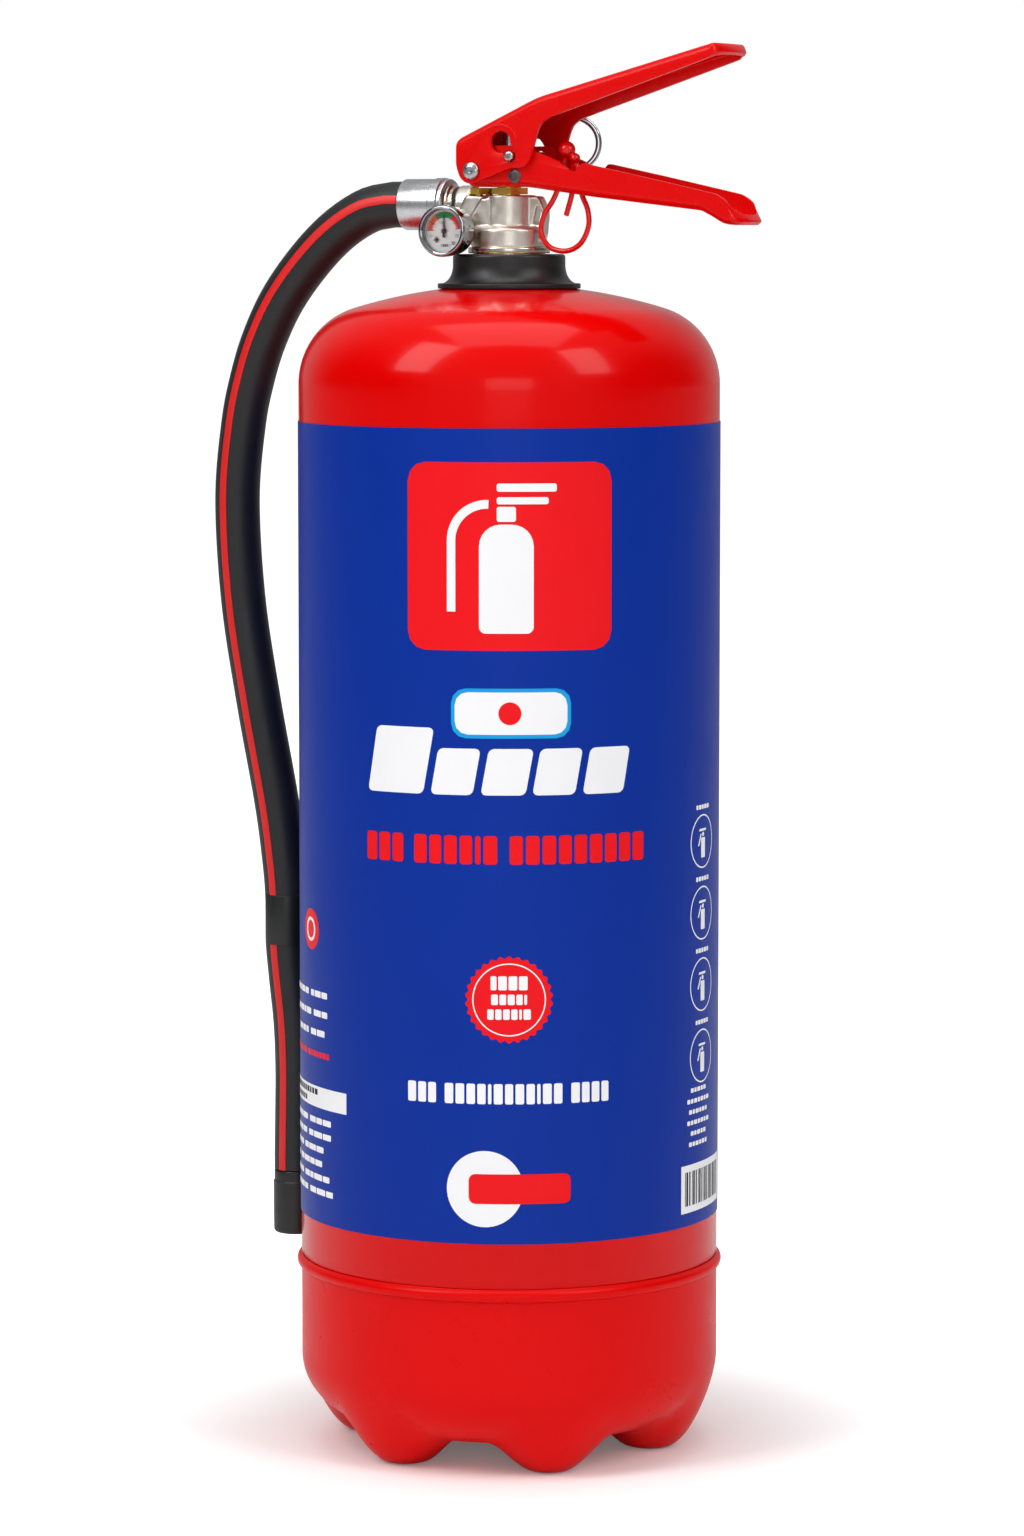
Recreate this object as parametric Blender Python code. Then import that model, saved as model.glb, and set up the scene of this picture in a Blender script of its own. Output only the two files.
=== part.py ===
"""Stored-pressure fire extinguisher, built as an assembly of separate pieces.

Run it in Blender 4.5 with blender --background --python part.py, or from the text editor.
Units are metres and +Z is up. The floor is z = 0, the squeeze lever points along +X, the hose
leaves along -X, and the gauge faces -Y.
"""

import math

import bmesh
import bpy
import numpy as np
from mathutils import Matrix, Vector

TURN = 2.0 * math.pi
GAP = 0.0003

# The exact Boolean solver leaves open edges on these pieces.
MANIFOLD_SOLVED = {"valve_body", "carry_handle"}

# Pressure cylinder.
CYLINDER_RADIUS = 0.0800
CYLINDER_WALL = 0.0016
SHOULDER_Z = 0.4070
SHOULDER_RADIUS = 0.0300
CROWN_RADIUS = 0.2000
NECK_HOLE_RADIUS = 0.0143
LOWER_HEAD_Z = 0.0600
LOWER_KNUCKLE = 0.0300
LOWER_CROWN_RADIUS = 0.1500
CYLINDER_STEPS = 48

# Moulded base with six feet.
BASE_WALL = 0.0024
BASE_RIM_Z = 0.0738
BASE_BEAD_PROUD = 0.0017
BASE_BEAD_HALF_HEIGHT = 0.0026
BASE_ROUND_Z = 0.0346
BASE_ROUND_RUN = 0.0270
BASE_FLOOR_Z = 0.0105
BASE_CENTRE_RISE = 0.0060
FOOT_COUNT = 6
FOOT_RADIUS = 0.0540
FOOT_PAD_RADIUS = 0.0060
FOOT_SPREAD = 0.0230
FOOT_ANGLE = 1.5 * TURN / 48.0

# Label sleeve.
LABEL_LOW_Z = 0.0910
LABEL_HIGH_Z = 0.3930
LABEL_THICKNESS = 0.00025
LABEL_CLEARANCE = 0.00010

# Neck.
NECK_RING_WALL = 0.0039
NECK_RING_HEIGHT = 0.0110
COLLAR_TOP_RADIUS = 0.0219
COLLAR_FLANGE_RADIUS = 0.0276
COLLAR_TOP_Z = 0.4560

# Valve.
THREAD_CLEARANCE = 0.0003
VALVE_NECK_LENGTH = 0.0200
VALVE_FLANGE_RADIUS = 0.0155
VALVE_FLANGE_HEIGHT = 0.0023
VALVE_BARREL_RADIUS = 0.0142
VALVE_BARREL_HEIGHT = 0.0076
VALVE_BOSS_RADIUS = 0.0099
VALVE_BOSS_HEIGHT = 0.0120
VALVE_BORE_RADIUS = 0.0075
SEAT_RADIUS = 0.0034
SEAT_HEIGHT = 0.0057
CHAMBER_RADIUS = 0.0045
OUTLET_Z = 0.4747
OUTLET_BORE_RADIUS = 0.0030
OUTLET_BOSS_RADIUS = 0.0072
OUTLET_FACE_X = -0.0198
STEM_RADIUS = 0.0024
STEM_CLEARANCE = 0.0003
GLAND_FLATS = 0.0136
GLAND_HEX_HEIGHT = 0.0025
GLAND_NECK_RADIUS = 0.0046
LOCK_NUT_FLATS = 0.0112
LOCK_NUT_HEIGHT = 0.0030
STANDOFF_FLATS = 0.0064
STANDOFF_X = -0.0106
STANDOFF_Y = 0.0046
DIP_TUBE_RADIUS = 0.0071
DIP_TUBE_WALL = 0.0014
DIP_TUBE_LOW_Z = 0.0340

# Squeeze lever and carry handle, both pressed sheet channels.
SHEET = 0.0016
PIVOT_X = -0.0085
PIVOT_Z = 0.4872
PIVOT_RADIUS = 0.0024
PIVOT_HEAD_RADIUS = 0.0033
LEVER_HALF_WIDTH = 0.0150
LEVER_CORNER = 0.0026
LEVER_SIDE_GAP = 0.0007
LEVER_NOSE_DEPTH = 0.0045
LEVER_TRAVEL = math.radians(18.0)
HANDLE_CORNER = 0.0030
HANDLE_NOSE_DEPTH = 0.0048
NOSE_INSET = 0.0005
HANDLE_TIP_X = 0.1013
HANDLE_FLOOR_Z = 0.4812
PIN_X = 0.0076
PIN_Z = 0.4926
PIN_RADIUS = 0.0019
PIN_CLEARANCE = 0.00035
RIVET_X = 0.0085
RIVET_Z = 0.4852
RIVET_RADIUS = 0.0014
LEVER_WINDOW_X = 0.0037
LEVER_WINDOW_Z = 0.4979
LEVER_WINDOW_RADIUS = 0.0041

# Safety pin ring.
EYE_Y = 0.0205
EYE_RADIUS = 0.0038
EYE_HOLE_RADIUS = 0.0017
RING_RADIUS = 0.0099
RING_WIRE_RADIUS = 0.0012
RING_YAW = math.radians(26.0)
RING_LIFT = math.radians(32.0)

# Gauge.
GAUGE_X = -0.0161
GAUGE_Z = 0.4647
GAUGE_RADIUS = 0.0097
GAUGE_LIP = 0.0015
GAUGE_FRONT_Y = -0.0257
GAUGE_BACK_Y = -0.0127
GAUGE_LUG_Y = -0.0090
GAUGE_STUD_RADIUS = 0.0030
GAUGE_LUG_RADIUS = 0.0049
GAUGE_CASE_WALL = 0.0007

# Hose, its fitting, nozzle and clip.
HOSE_RADIUS = 0.00875
FERRULE_RADIUS = 0.0099
FERRULE_START_X = -0.0238
FERRULE_END_X = -0.0434
NOZZLE_RADIUS = 0.0092
NOZZLE_TOP_Z = 0.0980
NOZZLE_LENGTH = 0.0250
HOSE_POINTS = 26
# A bevel of this resolution has twelve sides, with corners on both of its axes.
HOSE_BEVEL = 4
CLIP_Z = 0.1970
CLIP_HEIGHT = 0.0196
CLIP_WALL = 0.0019
CLIP_CLEARANCE = 0.00045
CLIP_MOUTH = math.radians(46.0)
HOSE_ROUTE = [
    (-0.0437, 0.4747),
    (-0.0490, 0.4747),
    (-0.0600, 0.4725),
    (-0.0730, 0.4650),
    (-0.0855, 0.4535),
    (-0.0975, 0.4385),
    (-0.1059, 0.4226),
    (-0.1113, 0.4070),
    (-0.1152, 0.3895),
    (-0.1180, 0.3602),
    (-0.1156, 0.3212),
    (-0.1091, 0.2822),
    (-0.1013, 0.2432),
    (-0.0979, 0.2200),
    (-0.0967, 0.2070),
    (-0.0966, 0.1970),
    (-0.0965, 0.1870),
    (-0.0952, 0.1740),
    (-0.0932, 0.1560),
    (-0.0925, 0.1380),
    (-0.0927, 0.1200),
    (-0.0930, 0.1040),
    (-0.0930, 0.0983),
]

# Values that follow from the sizes above.
NECK_RING_RADIUS = NECK_HOLE_RADIUS + NECK_RING_WALL - GAP
KNUCKLE_ANGLE = math.asin((CYLINDER_RADIUS - SHOULDER_RADIUS) / (CROWN_RADIUS - SHOULDER_RADIUS))
CROWN_CENTRE_Z = SHOULDER_Z - (CROWN_RADIUS - SHOULDER_RADIUS) * math.cos(KNUCKLE_ANGLE)


def crown_height(radius):
    """The height of the dome's outer surface at this distance from the axis."""
    return CROWN_CENTRE_Z + math.sqrt(CROWN_RADIUS**2 - radius**2)


NECK_RING_LOW_Z = crown_height(NECK_HOLE_RADIUS) + GAP
NECK_RING_HIGH_Z = NECK_RING_LOW_Z + NECK_RING_HEIGHT
COLLAR_BORE = NECK_RING_RADIUS + GAP
VALVE_NECK_RADIUS = NECK_HOLE_RADIUS - GAP - THREAD_CLEARANCE
VALVE_FLANGE_Z = max(NECK_RING_HIGH_Z, COLLAR_TOP_Z) + GAP
VALVE_BARREL_Z = VALVE_FLANGE_Z + VALVE_FLANGE_HEIGHT
VALVE_BOSS_Z = VALVE_BARREL_Z + VALVE_BARREL_HEIGHT
VALVE_TOP_Z = VALVE_BOSS_Z + VALVE_BOSS_HEIGHT
VALVE_NECK_LOW_Z = VALVE_FLANGE_Z - VALVE_NECK_LENGTH
SEAT_Z = VALVE_BARREL_Z + SEAT_HEIGHT
HANDLE_HALF_WIDTH = LEVER_HALF_WIDTH - SHEET - LEVER_SIDE_GAP
HANDLE_TOP_AT_PIN = PIN_Z + 0.0040


# ---------------------------------------------------------------- tools


def clear_scene():
    for leftover in list(bpy.data.objects):
        bpy.data.objects.remove(leftover)


def make_material(name, colour, roughness, metallic=0.0):
    material = bpy.data.materials.new(name)
    material.use_nodes = True
    shader = material.node_tree.nodes["Principled BSDF"]
    shader.inputs["Base Color"].default_value = (*colour, 1.0)
    shader.inputs["Roughness"].default_value = roughness
    shader.inputs["Metallic"].default_value = metallic
    return material


def arc(centre, radius, first, last, steps):
    """Points on an arc, from one angle to another."""
    angles = [first + (last - first) * step / steps for step in range(steps + 1)]
    return [(centre[0] + radius * math.cos(a), centre[1] + radius * math.sin(a)) for a in angles]


def rounded(corners, steps=3):
    """A closed outline whose corners are arcs. Each corner is (x, y) or (x, y, radius)."""
    points = []
    count = len(corners)
    for index, corner in enumerate(corners):
        here = Vector(corner[:2])
        radius = corner[2] if len(corner) > 2 else 0.0
        if radius == 0.0:
            points.append(tuple(here))
            continue
        before = (Vector(corners[index - 1][:2]) - here).normalized()
        after = (Vector(corners[(index + 1) % count][:2]) - here).normalized()
        half = before.angle(after) / 2.0
        reach = radius / math.tan(half)
        centre = here + (before + after).normalized() * (radius / math.sin(half))
        start = here + before * reach - centre
        end = here + after * reach - centre
        sweep = start.angle_signed(end)
        for step in range(steps + 1):
            spoke = start.copy()
            spoke.rotate(Matrix.Rotation(-sweep * step / steps, 2))
            points.append(tuple(centre + spoke))
    return points


def finish_mesh(name, mesh_data, material, parent, origin=(0.0, 0.0, 0.0), smooth_angle=None):
    """Turns a bmesh into a named object whose origin is at the given point of the parent's frame."""
    bmesh.ops.recalc_face_normals(mesh_data, faces=mesh_data.faces)
    bmesh.ops.translate(mesh_data, verts=mesh_data.verts, vec=-Vector(origin))
    for face in mesh_data.faces:
        face.smooth = smooth_angle is not None
    for edge in mesh_data.edges:
        if smooth_angle is not None and len(edge.link_faces) == 2:
            edge.smooth = edge.calc_face_angle(0.0) < smooth_angle
    mesh = bpy.data.meshes.new(name)
    mesh_data.to_mesh(mesh)
    mesh_data.free()
    obj = bpy.data.objects.new(name, mesh)
    obj.data.materials.append(material)
    obj.parent = parent
    obj.location = origin
    bpy.context.scene.collection.objects.link(obj)
    return obj


def lathe(profile, steps=48, closed=True, start=0.0, sweep=TURN):
    """Spins a (radius, height) profile about Z. An open profile has both ends on the axis."""
    mesh_data = bmesh.new()
    spoke = Vector((math.cos(start), math.sin(start), 0.0))
    verts = [mesh_data.verts.new(spoke * radius + Vector((0.0, 0.0, z))) for radius, z in profile]
    edges = [mesh_data.edges.new(pair) for pair in zip(verts, verts[1:])]
    if closed:
        edges.append(mesh_data.edges.new((verts[-1], verts[0])))
    whole = abs(sweep - TURN) < 1e-9
    if not whole:
        mesh_data.faces.new(verts)
    made = bmesh.ops.spin(
        mesh_data,
        geom=verts + edges,
        cent=(0.0, 0.0, 0.0),
        axis=(0.0, 0.0, 1.0),
        angle=sweep,
        steps=steps,
        use_merge=whole,
    )
    if not whole:
        last = [item for item in made["geom_last"] if isinstance(item, bmesh.types.BMVert)]
        heights = [Vector((math.hypot(v.co.x, v.co.y), v.co.z)) for v in last]
        order = []
        for radius, z in profile:
            distances = [(place - Vector((radius, z))).length for place in heights]
            order.append(last[distances.index(min(distances))])
        mesh_data.faces.new(order)
    bmesh.ops.remove_doubles(mesh_data, verts=mesh_data.verts, dist=1e-6)
    return mesh_data


def turned(mesh_data, axis, at):
    """Turns a lathed piece so that its Z axis points along the given axis, and moves it."""
    turn = Vector((0.0, 0.0, 1.0)).rotation_difference(Vector(axis)).to_matrix().to_4x4()
    bmesh.ops.transform(mesh_data, matrix=Matrix.Translation(at) @ turn, verts=mesh_data.verts)
    return mesh_data


def rod(radius, low, high, steps=32, chamfer=0.0):
    """A solid round bar along Z, with chamfered ends."""
    profile = [
        (0.0, low),
        (radius - chamfer, low),
        (radius, low + chamfer),
        (radius, high - chamfer),
        (radius - chamfer, high),
        (0.0, high),
    ]
    if chamfer == 0.0:
        profile = [(0.0, low), (radius, low), (radius, high), (0.0, high)]
    return lathe(profile, steps, closed=False)


def tube(inner, outer, low, high, steps=32, chamfer=0.0):
    """A round tube along Z, with its outer rims chamfered."""
    profile = [(inner, low), (outer - chamfer, low), (outer, low + chamfer)]
    profile += [(outer, high - chamfer), (outer - chamfer, high), (inner, high)]
    if chamfer == 0.0:
        profile = [(inner, low), (outer, low), (outer, high), (inner, high)]
    return lathe(profile, steps)


def ring(radius, wire_radius, steps=40, sides=10):
    """A torus about Z."""
    return lathe(arc((radius, 0.0), wire_radius, 0.0, TURN * (sides - 1) / sides, sides - 1), steps)


def prism(outline, low, high):
    """Extrudes a closed (x, z) outline along Y, from low to high."""
    mesh_data = bmesh.new()
    verts = [mesh_data.verts.new((x, low, z)) for x, z in outline]
    face = mesh_data.faces.new(verts)
    made = bmesh.ops.extrude_face_region(mesh_data, geom=[face])
    moved = [item for item in made["geom"] if isinstance(item, bmesh.types.BMVert)]
    bmesh.ops.translate(mesh_data, verts=moved, vec=(0.0, high - low, 0.0))
    return mesh_data


def block(low, high):
    """A box between two corners."""
    mesh_data = bmesh.new()
    size = Vector(high) - Vector(low)
    middle = (Vector(high) + Vector(low)) / 2.0
    matrix = Matrix.Translation(middle) @ Matrix.Diagonal((*size, 1.0))
    bmesh.ops.create_cube(mesh_data, size=1.0, matrix=matrix)
    return mesh_data


def hexagon(flats, low, high):
    """A hexagonal block along Z, with a corner pointing along Y."""
    mesh_data = bmesh.new()
    corner = flats / 2.0 / math.cos(math.pi / 6.0)
    bmesh.ops.create_cone(
        mesh_data,
        cap_ends=True,
        segments=6,
        radius1=corner,
        radius2=corner,
        depth=high - low,
        matrix=Matrix.Translation((0.0, 0.0, (low + high) / 2.0)) @ Matrix.Rotation(TURN / 12.0, 4, "Z"),
    )
    return mesh_data


def sweep(points, radius, sides=8):
    """A closed round tube along a row of points, with flat ends."""
    path = [Vector(point) for point in points]
    mesh_data = bmesh.new()
    ahead = (path[1] - path[0]).normalized()
    side = ahead.orthogonal().normalized()
    rings = []
    for index, point in enumerate(path):
        back = path[max(index - 1, 0)]
        front = path[min(index + 1, len(path) - 1)]
        turned_ahead = (front - back).normalized()
        side.rotate(ahead.rotation_difference(turned_ahead))
        ahead = turned_ahead
        other = ahead.cross(side)
        spokes = [TURN * step / sides for step in range(sides)]
        rings.append(
            [mesh_data.verts.new(point + (side * math.cos(a) + other * math.sin(a)) * radius) for a in spokes]
        )
    for low, high in zip(rings, rings[1:]):
        for step in range(sides):
            after = (step + 1) % sides
            mesh_data.faces.new((low[step], low[after], high[after], high[step]))
    mesh_data.faces.new(rings[0])
    mesh_data.faces.new(rings[-1])
    return mesh_data


def smooth_path(points, count):
    """Points at even distances along a smooth curve through the given points."""
    route = np.array(points, float)
    padded = np.vstack([2.0 * route[0] - route[1], route, 2.0 * route[-1] - route[-2]])
    fine = []
    for index in range(len(route) - 1):
        a, b, c, d = padded[index : index + 4]
        for t in np.linspace(0.0, 1.0, 24, endpoint=False):
            square = (2.0 * a - 5.0 * b + 4.0 * c - d) * t**2
            cube = (3.0 * b - a - 3.0 * c + d) * t**3
            fine.append(0.5 * (2.0 * b + (c - a) * t + square + cube))
    fine.append(route[-1])
    fine = np.array(fine)
    lengths = np.concatenate([[0.0], np.cumsum(np.linalg.norm(np.diff(fine, axis=0), axis=1))])
    wanted = np.linspace(0.0, lengths[-1], count)
    return np.stack([np.interp(wanted, lengths, column) for column in fine.T], axis=1)


def helper(name, mesh_data, parent):
    """A cutter or a union piece, kept out of renders and out of the nodes."""
    obj = finish_mesh(name, mesh_data, SCRAP, parent)
    obj.hide_render = True
    obj.display_type = "WIRE"
    return obj


def combine(obj, other, operation):
    modifier = obj.modifiers.new(other.name, "BOOLEAN")
    modifier.operation = operation
    modifier.solver = "MANIFOLD" if obj.name in MANIFOLD_SOLVED else "EXACT"
    modifier.object = other


def cut(obj, name, mesh_data):
    combine(obj, helper(obj.name + "." + name, mesh_data, obj.parent), "DIFFERENCE")


def join(obj, name, mesh_data):
    combine(obj, helper(obj.name + "." + name, mesh_data, obj.parent), "UNION")


# ---------------------------------------------------------------- materials

clear_scene()
SCRAP = make_material("cutter", (0.5, 0.5, 0.5), 0.5)
RED_ENAMEL = make_material("red_enamel", (0.72, 0.008, 0.008), 0.18)
RED_SHEET = make_material("red_painted_sheet", (0.70, 0.010, 0.010), 0.30)
RED_PLASTIC = make_material("red_plastic", (0.75, 0.012, 0.010), 0.28)
BLUE_LABEL = make_material("blue_label", (0.010, 0.045, 0.32), 0.35)
BLACK_PLASTIC = make_material("black_plastic", (0.012, 0.012, 0.013), 0.38)
BLACK_RUBBER = make_material("black_rubber", (0.018, 0.018, 0.019), 0.55)
NICKEL_BRASS = make_material("nickel_plated_brass", (0.62, 0.57, 0.50), 0.38, 1.0)
BRASS = make_material("brass", (0.80, 0.55, 0.18), 0.28, 1.0)
STEEL = make_material("plated_steel", (0.66, 0.66, 0.67), 0.22, 1.0)
CHROME = make_material("chrome", (0.80, 0.80, 0.80), 0.08, 1.0)
ALUMINIUM = make_material("aluminium", (0.74, 0.74, 0.75), 0.30, 1.0)
CLEAR = make_material("clear_lens", (0.95, 0.96, 0.97), 0.04)
DIAL_WHITE = make_material("dial_white", (0.90, 0.90, 0.89), 0.45)
TUBE_PLASTIC = make_material("tube_plastic", (0.86, 0.85, 0.80), 0.45)

SMOOTH = math.radians(40.0)


def dome_outline(inset, crown_steps, knuckle_steps):
    """The dome and side of the vessel from its neck hole down, moved in by the inset."""
    knuckle = SHOULDER_RADIUS - inset
    crown = CROWN_RADIUS - inset
    first = math.acos(NECK_HOLE_RADIUS / crown)
    crown_points = arc((0.0, CROWN_CENTRE_Z), crown, first, math.pi / 2.0 - KNUCKLE_ANGLE, crown_steps)
    centre = (CYLINDER_RADIUS - SHOULDER_RADIUS, SHOULDER_Z)
    knuckle_points = arc(centre, knuckle, math.pi / 2.0 - KNUCKLE_ANGLE, 0.0, knuckle_steps)
    return crown_points + knuckle_points[1:]


def lower_outline(radius, inset, knuckle_steps, crown_steps):
    """The vessel's lower head from its side to the axis."""
    knuckle = LOWER_KNUCKLE - inset
    crown = LOWER_CROWN_RADIUS - inset
    centre_x = radius + inset - LOWER_KNUCKLE
    tilt = math.asin(centre_x / (LOWER_CROWN_RADIUS - LOWER_KNUCKLE))
    crown_z = LOWER_HEAD_Z + (LOWER_CROWN_RADIUS - LOWER_KNUCKLE) * math.cos(tilt)
    knuckle_points = arc((centre_x, LOWER_HEAD_Z), knuckle, 0.0, tilt - math.pi / 2.0, knuckle_steps)
    crown_points = arc((0.0, crown_z), crown, tilt - math.pi / 2.0, -math.pi / 2.0, crown_steps)
    return knuckle_points + crown_points[1:-1] + [(0.0, crown_z - crown)]


def build_cylinder_shell(parent):
    """The steel vessel: domed top with a neck hole, and a stepped-in lower end inside the base."""
    step_low = BASE_RIM_Z - 0.0030
    lower = CYLINDER_RADIUS - BASE_WALL
    outer = dome_outline(0.0, 4, 7)
    outer += [(CYLINDER_RADIUS, BASE_RIM_Z + 0.0012), (lower, step_low)]
    outer += lower_outline(lower, 0.0, 3, 3)
    inner = dome_outline(CYLINDER_WALL, 3, 4)
    inner += [
        (CYLINDER_RADIUS - CYLINDER_WALL, BASE_RIM_Z + 0.0005),
        (lower - CYLINDER_WALL, step_low - 0.0007),
    ]
    inner += lower_outline(lower - CYLINDER_WALL, CYLINDER_WALL, 2, 2)
    profile = list(reversed(outer)) + inner
    shell = lathe(profile, CYLINDER_STEPS, closed=False)
    finish_mesh("cylinder_shell", shell, RED_ENAMEL, parent, smooth_angle=SMOOTH)


def base_floor(radius, angle):
    """The height of the base's outer surface, with a bump down to the floor at each foot."""
    outer = CYLINDER_RADIUS
    run = (radius - (outer - BASE_ROUND_RUN)) / BASE_ROUND_RUN
    height = BASE_FLOOR_Z
    if run > 0.0:
        height = BASE_ROUND_Z - (BASE_ROUND_Z - BASE_FLOOR_Z) * math.sqrt(max(0.0, 1.0 - run**2))
    dish = max(0.0, 1.0 - (radius / (FOOT_RADIUS * 0.62)) ** 2)
    height += BASE_CENTRE_RISE * dish**2
    spacing = TURN / FOOT_COUNT
    off = (angle - FOOT_ANGLE + spacing / 2.0) % spacing - spacing / 2.0
    along = FOOT_RADIUS * off
    across = radius - FOOT_RADIUS
    reach = FOOT_SPREAD * (1.0 if across < 0.0 else 1.25)
    away = math.sqrt((across * FOOT_SPREAD / reach) ** 2 + along**2)
    rise = min(1.0, max(0.0, (away - FOOT_PAD_RADIUS) / (FOOT_SPREAD - FOOT_PAD_RADIUS)))
    blend = rise * rise * (3.0 - 2.0 * rise)
    return height * blend


def build_base_cup(parent):
    """The moulded base: six feet, a rounded corner, a straight wall and a beaded rim."""
    steps = CYLINDER_STEPS
    outer_radii = [0.014, 0.026, 0.036, 0.043, 0.050, 0.058, 0.064, 0.070]
    scale = CYLINDER_RADIUS / 0.080
    rim = BASE_RIM_Z
    bead = BASE_BEAD_HALF_HEIGHT
    wall_points = [
        (CYLINDER_RADIUS, rim - 2.0 * bead - 0.0010),
        (CYLINDER_RADIUS + BASE_BEAD_PROUD * 0.75, rim - 1.65 * bead),
        (CYLINDER_RADIUS + BASE_BEAD_PROUD, rim - bead),
        (CYLINDER_RADIUS + BASE_BEAD_PROUD * 0.75, rim - 0.35 * bead),
        (CYLINDER_RADIUS + GAP, rim),
        (CYLINDER_RADIUS - BASE_WALL + GAP + 0.0026, rim - 0.0010),
        (CYLINDER_RADIUS - BASE_WALL + GAP, rim - 0.0035),
    ]
    corner = []
    for step in range(1, 5):
        turn = math.radians(38.0 + 52.0 * step / 4.0)
        corner.append(CYLINDER_RADIUS - BASE_ROUND_RUN * (1.0 - math.sin(turn)))
    radii = [r * scale for r in outer_radii] + [r for r in corner if r > 0.0720 * scale]
    inner_radii = [r - BASE_WALL * (r / CYLINDER_RADIUS) ** 2 for r in radii[::2]]
    mesh_data = bmesh.new()
    angles = [TURN * step / steps for step in range(steps)]

    def spoke(radius, height, angle):
        return mesh_data.verts.new((radius * math.cos(angle), radius * math.sin(angle), height))

    rows = [[spoke(r, base_floor(r, a), a) for a in angles] for r in radii]
    rows += [[spoke(r, z, a) for a in angles] for r, z in wall_points]
    inner = list(zip(inner_radii, radii[::2]))
    rows += [
        [spoke(r, base_floor(own, a) + BASE_WALL, a) for a in angles] for r, own in reversed(inner)
    ]
    middle_low = mesh_data.verts.new((0.0, 0.0, BASE_FLOOR_Z + BASE_CENTRE_RISE))
    middle_high = mesh_data.verts.new((0.0, 0.0, BASE_FLOOR_Z + BASE_CENTRE_RISE + BASE_WALL))
    for low, high in zip(rows, rows[1:]):
        for step in range(steps):
            after = (step + 1) % steps
            mesh_data.faces.new((low[step], low[after], high[after], high[step]))
    for step in range(steps):
        after = (step + 1) % steps
        mesh_data.faces.new((middle_low, rows[0][after], rows[0][step]))
        mesh_data.faces.new((middle_high, rows[-1][step], rows[-1][after]))
    finish_mesh("base_cup", mesh_data, RED_PLASTIC, parent, smooth_angle=SMOOTH)


def build_label(parent):
    """The printed label: a thin sleeve with a bare strip one facet wide at the back."""
    inner = CYLINDER_RADIUS + LABEL_CLEARANCE
    outer = inner + LABEL_THICKNESS
    profile = [(inner, LABEL_LOW_Z), (outer, LABEL_LOW_Z), (outer, LABEL_HIGH_Z), (inner, LABEL_HIGH_Z)]
    facet = TURN / CYLINDER_STEPS
    sleeve = lathe(profile, CYLINDER_STEPS - 1, start=math.pi / 2.0, sweep=TURN - facet)
    finish_mesh("label_sleeve", sleeve, BLUE_LABEL, parent, smooth_angle=SMOOTH)


def build_neck(parent):
    low = NECK_RING_LOW_Z
    high = NECK_RING_HIGH_Z
    seat = NECK_HOLE_RADIUS + 0.0010
    neck = [
        (NECK_HOLE_RADIUS, low),
        (NECK_RING_RADIUS, low),
        (NECK_RING_RADIUS, high),
        (seat, high),
        (seat, high - 0.0016),
        (NECK_HOLE_RADIUS, high - 0.0026),
    ]
    finish_mesh("neck_ring", lathe(neck, 28), STEEL, parent, smooth_angle=SMOOTH)
    wire = 0.0006
    seal = turned(ring(NECK_HOLE_RADIUS + 0.00015, wire, 28, 6), (0, 0, 1), (0, 0, high - wire - 0.0003))
    finish_mesh("neck_o_ring", seal, BLACK_RUBBER, parent, smooth_angle=SMOOTH)
    flange_z = crown_height(COLLAR_FLANGE_RADIUS) + GAP
    lip = 0.0018
    flare = COLLAR_FLANGE_RADIUS - COLLAR_TOP_RADIUS
    top = COLLAR_TOP_Z
    profile = [(COLLAR_BORE, crown_height(COLLAR_BORE) + GAP + 0.0002)]
    profile += [(COLLAR_FLANGE_RADIUS - 0.0006, flange_z), (COLLAR_FLANGE_RADIUS, flange_z + 0.0006)]
    profile += [(COLLAR_FLANGE_RADIUS - 0.0002, flange_z + lip)]
    rise = top - 0.0045 - flange_z - lip
    for step in range(1, 6):
        turn = math.pi / 2.0 * step / 5.0
        out = flare * (1.0 - math.sin(turn)) * 0.85
        profile.append((COLLAR_TOP_RADIUS + out, flange_z + lip + rise * (1.0 - math.cos(turn))))
    profile += [
        (COLLAR_TOP_RADIUS, top - 0.0012),
        (COLLAR_TOP_RADIUS - 0.0004, top - 0.0003),
        (COLLAR_TOP_RADIUS - 0.0012, top),
        (COLLAR_BORE, top),
    ]
    finish_mesh("neck_collar", lathe(profile, 32), BLACK_PLASTIC, parent, smooth_angle=SMOOTH)


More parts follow.
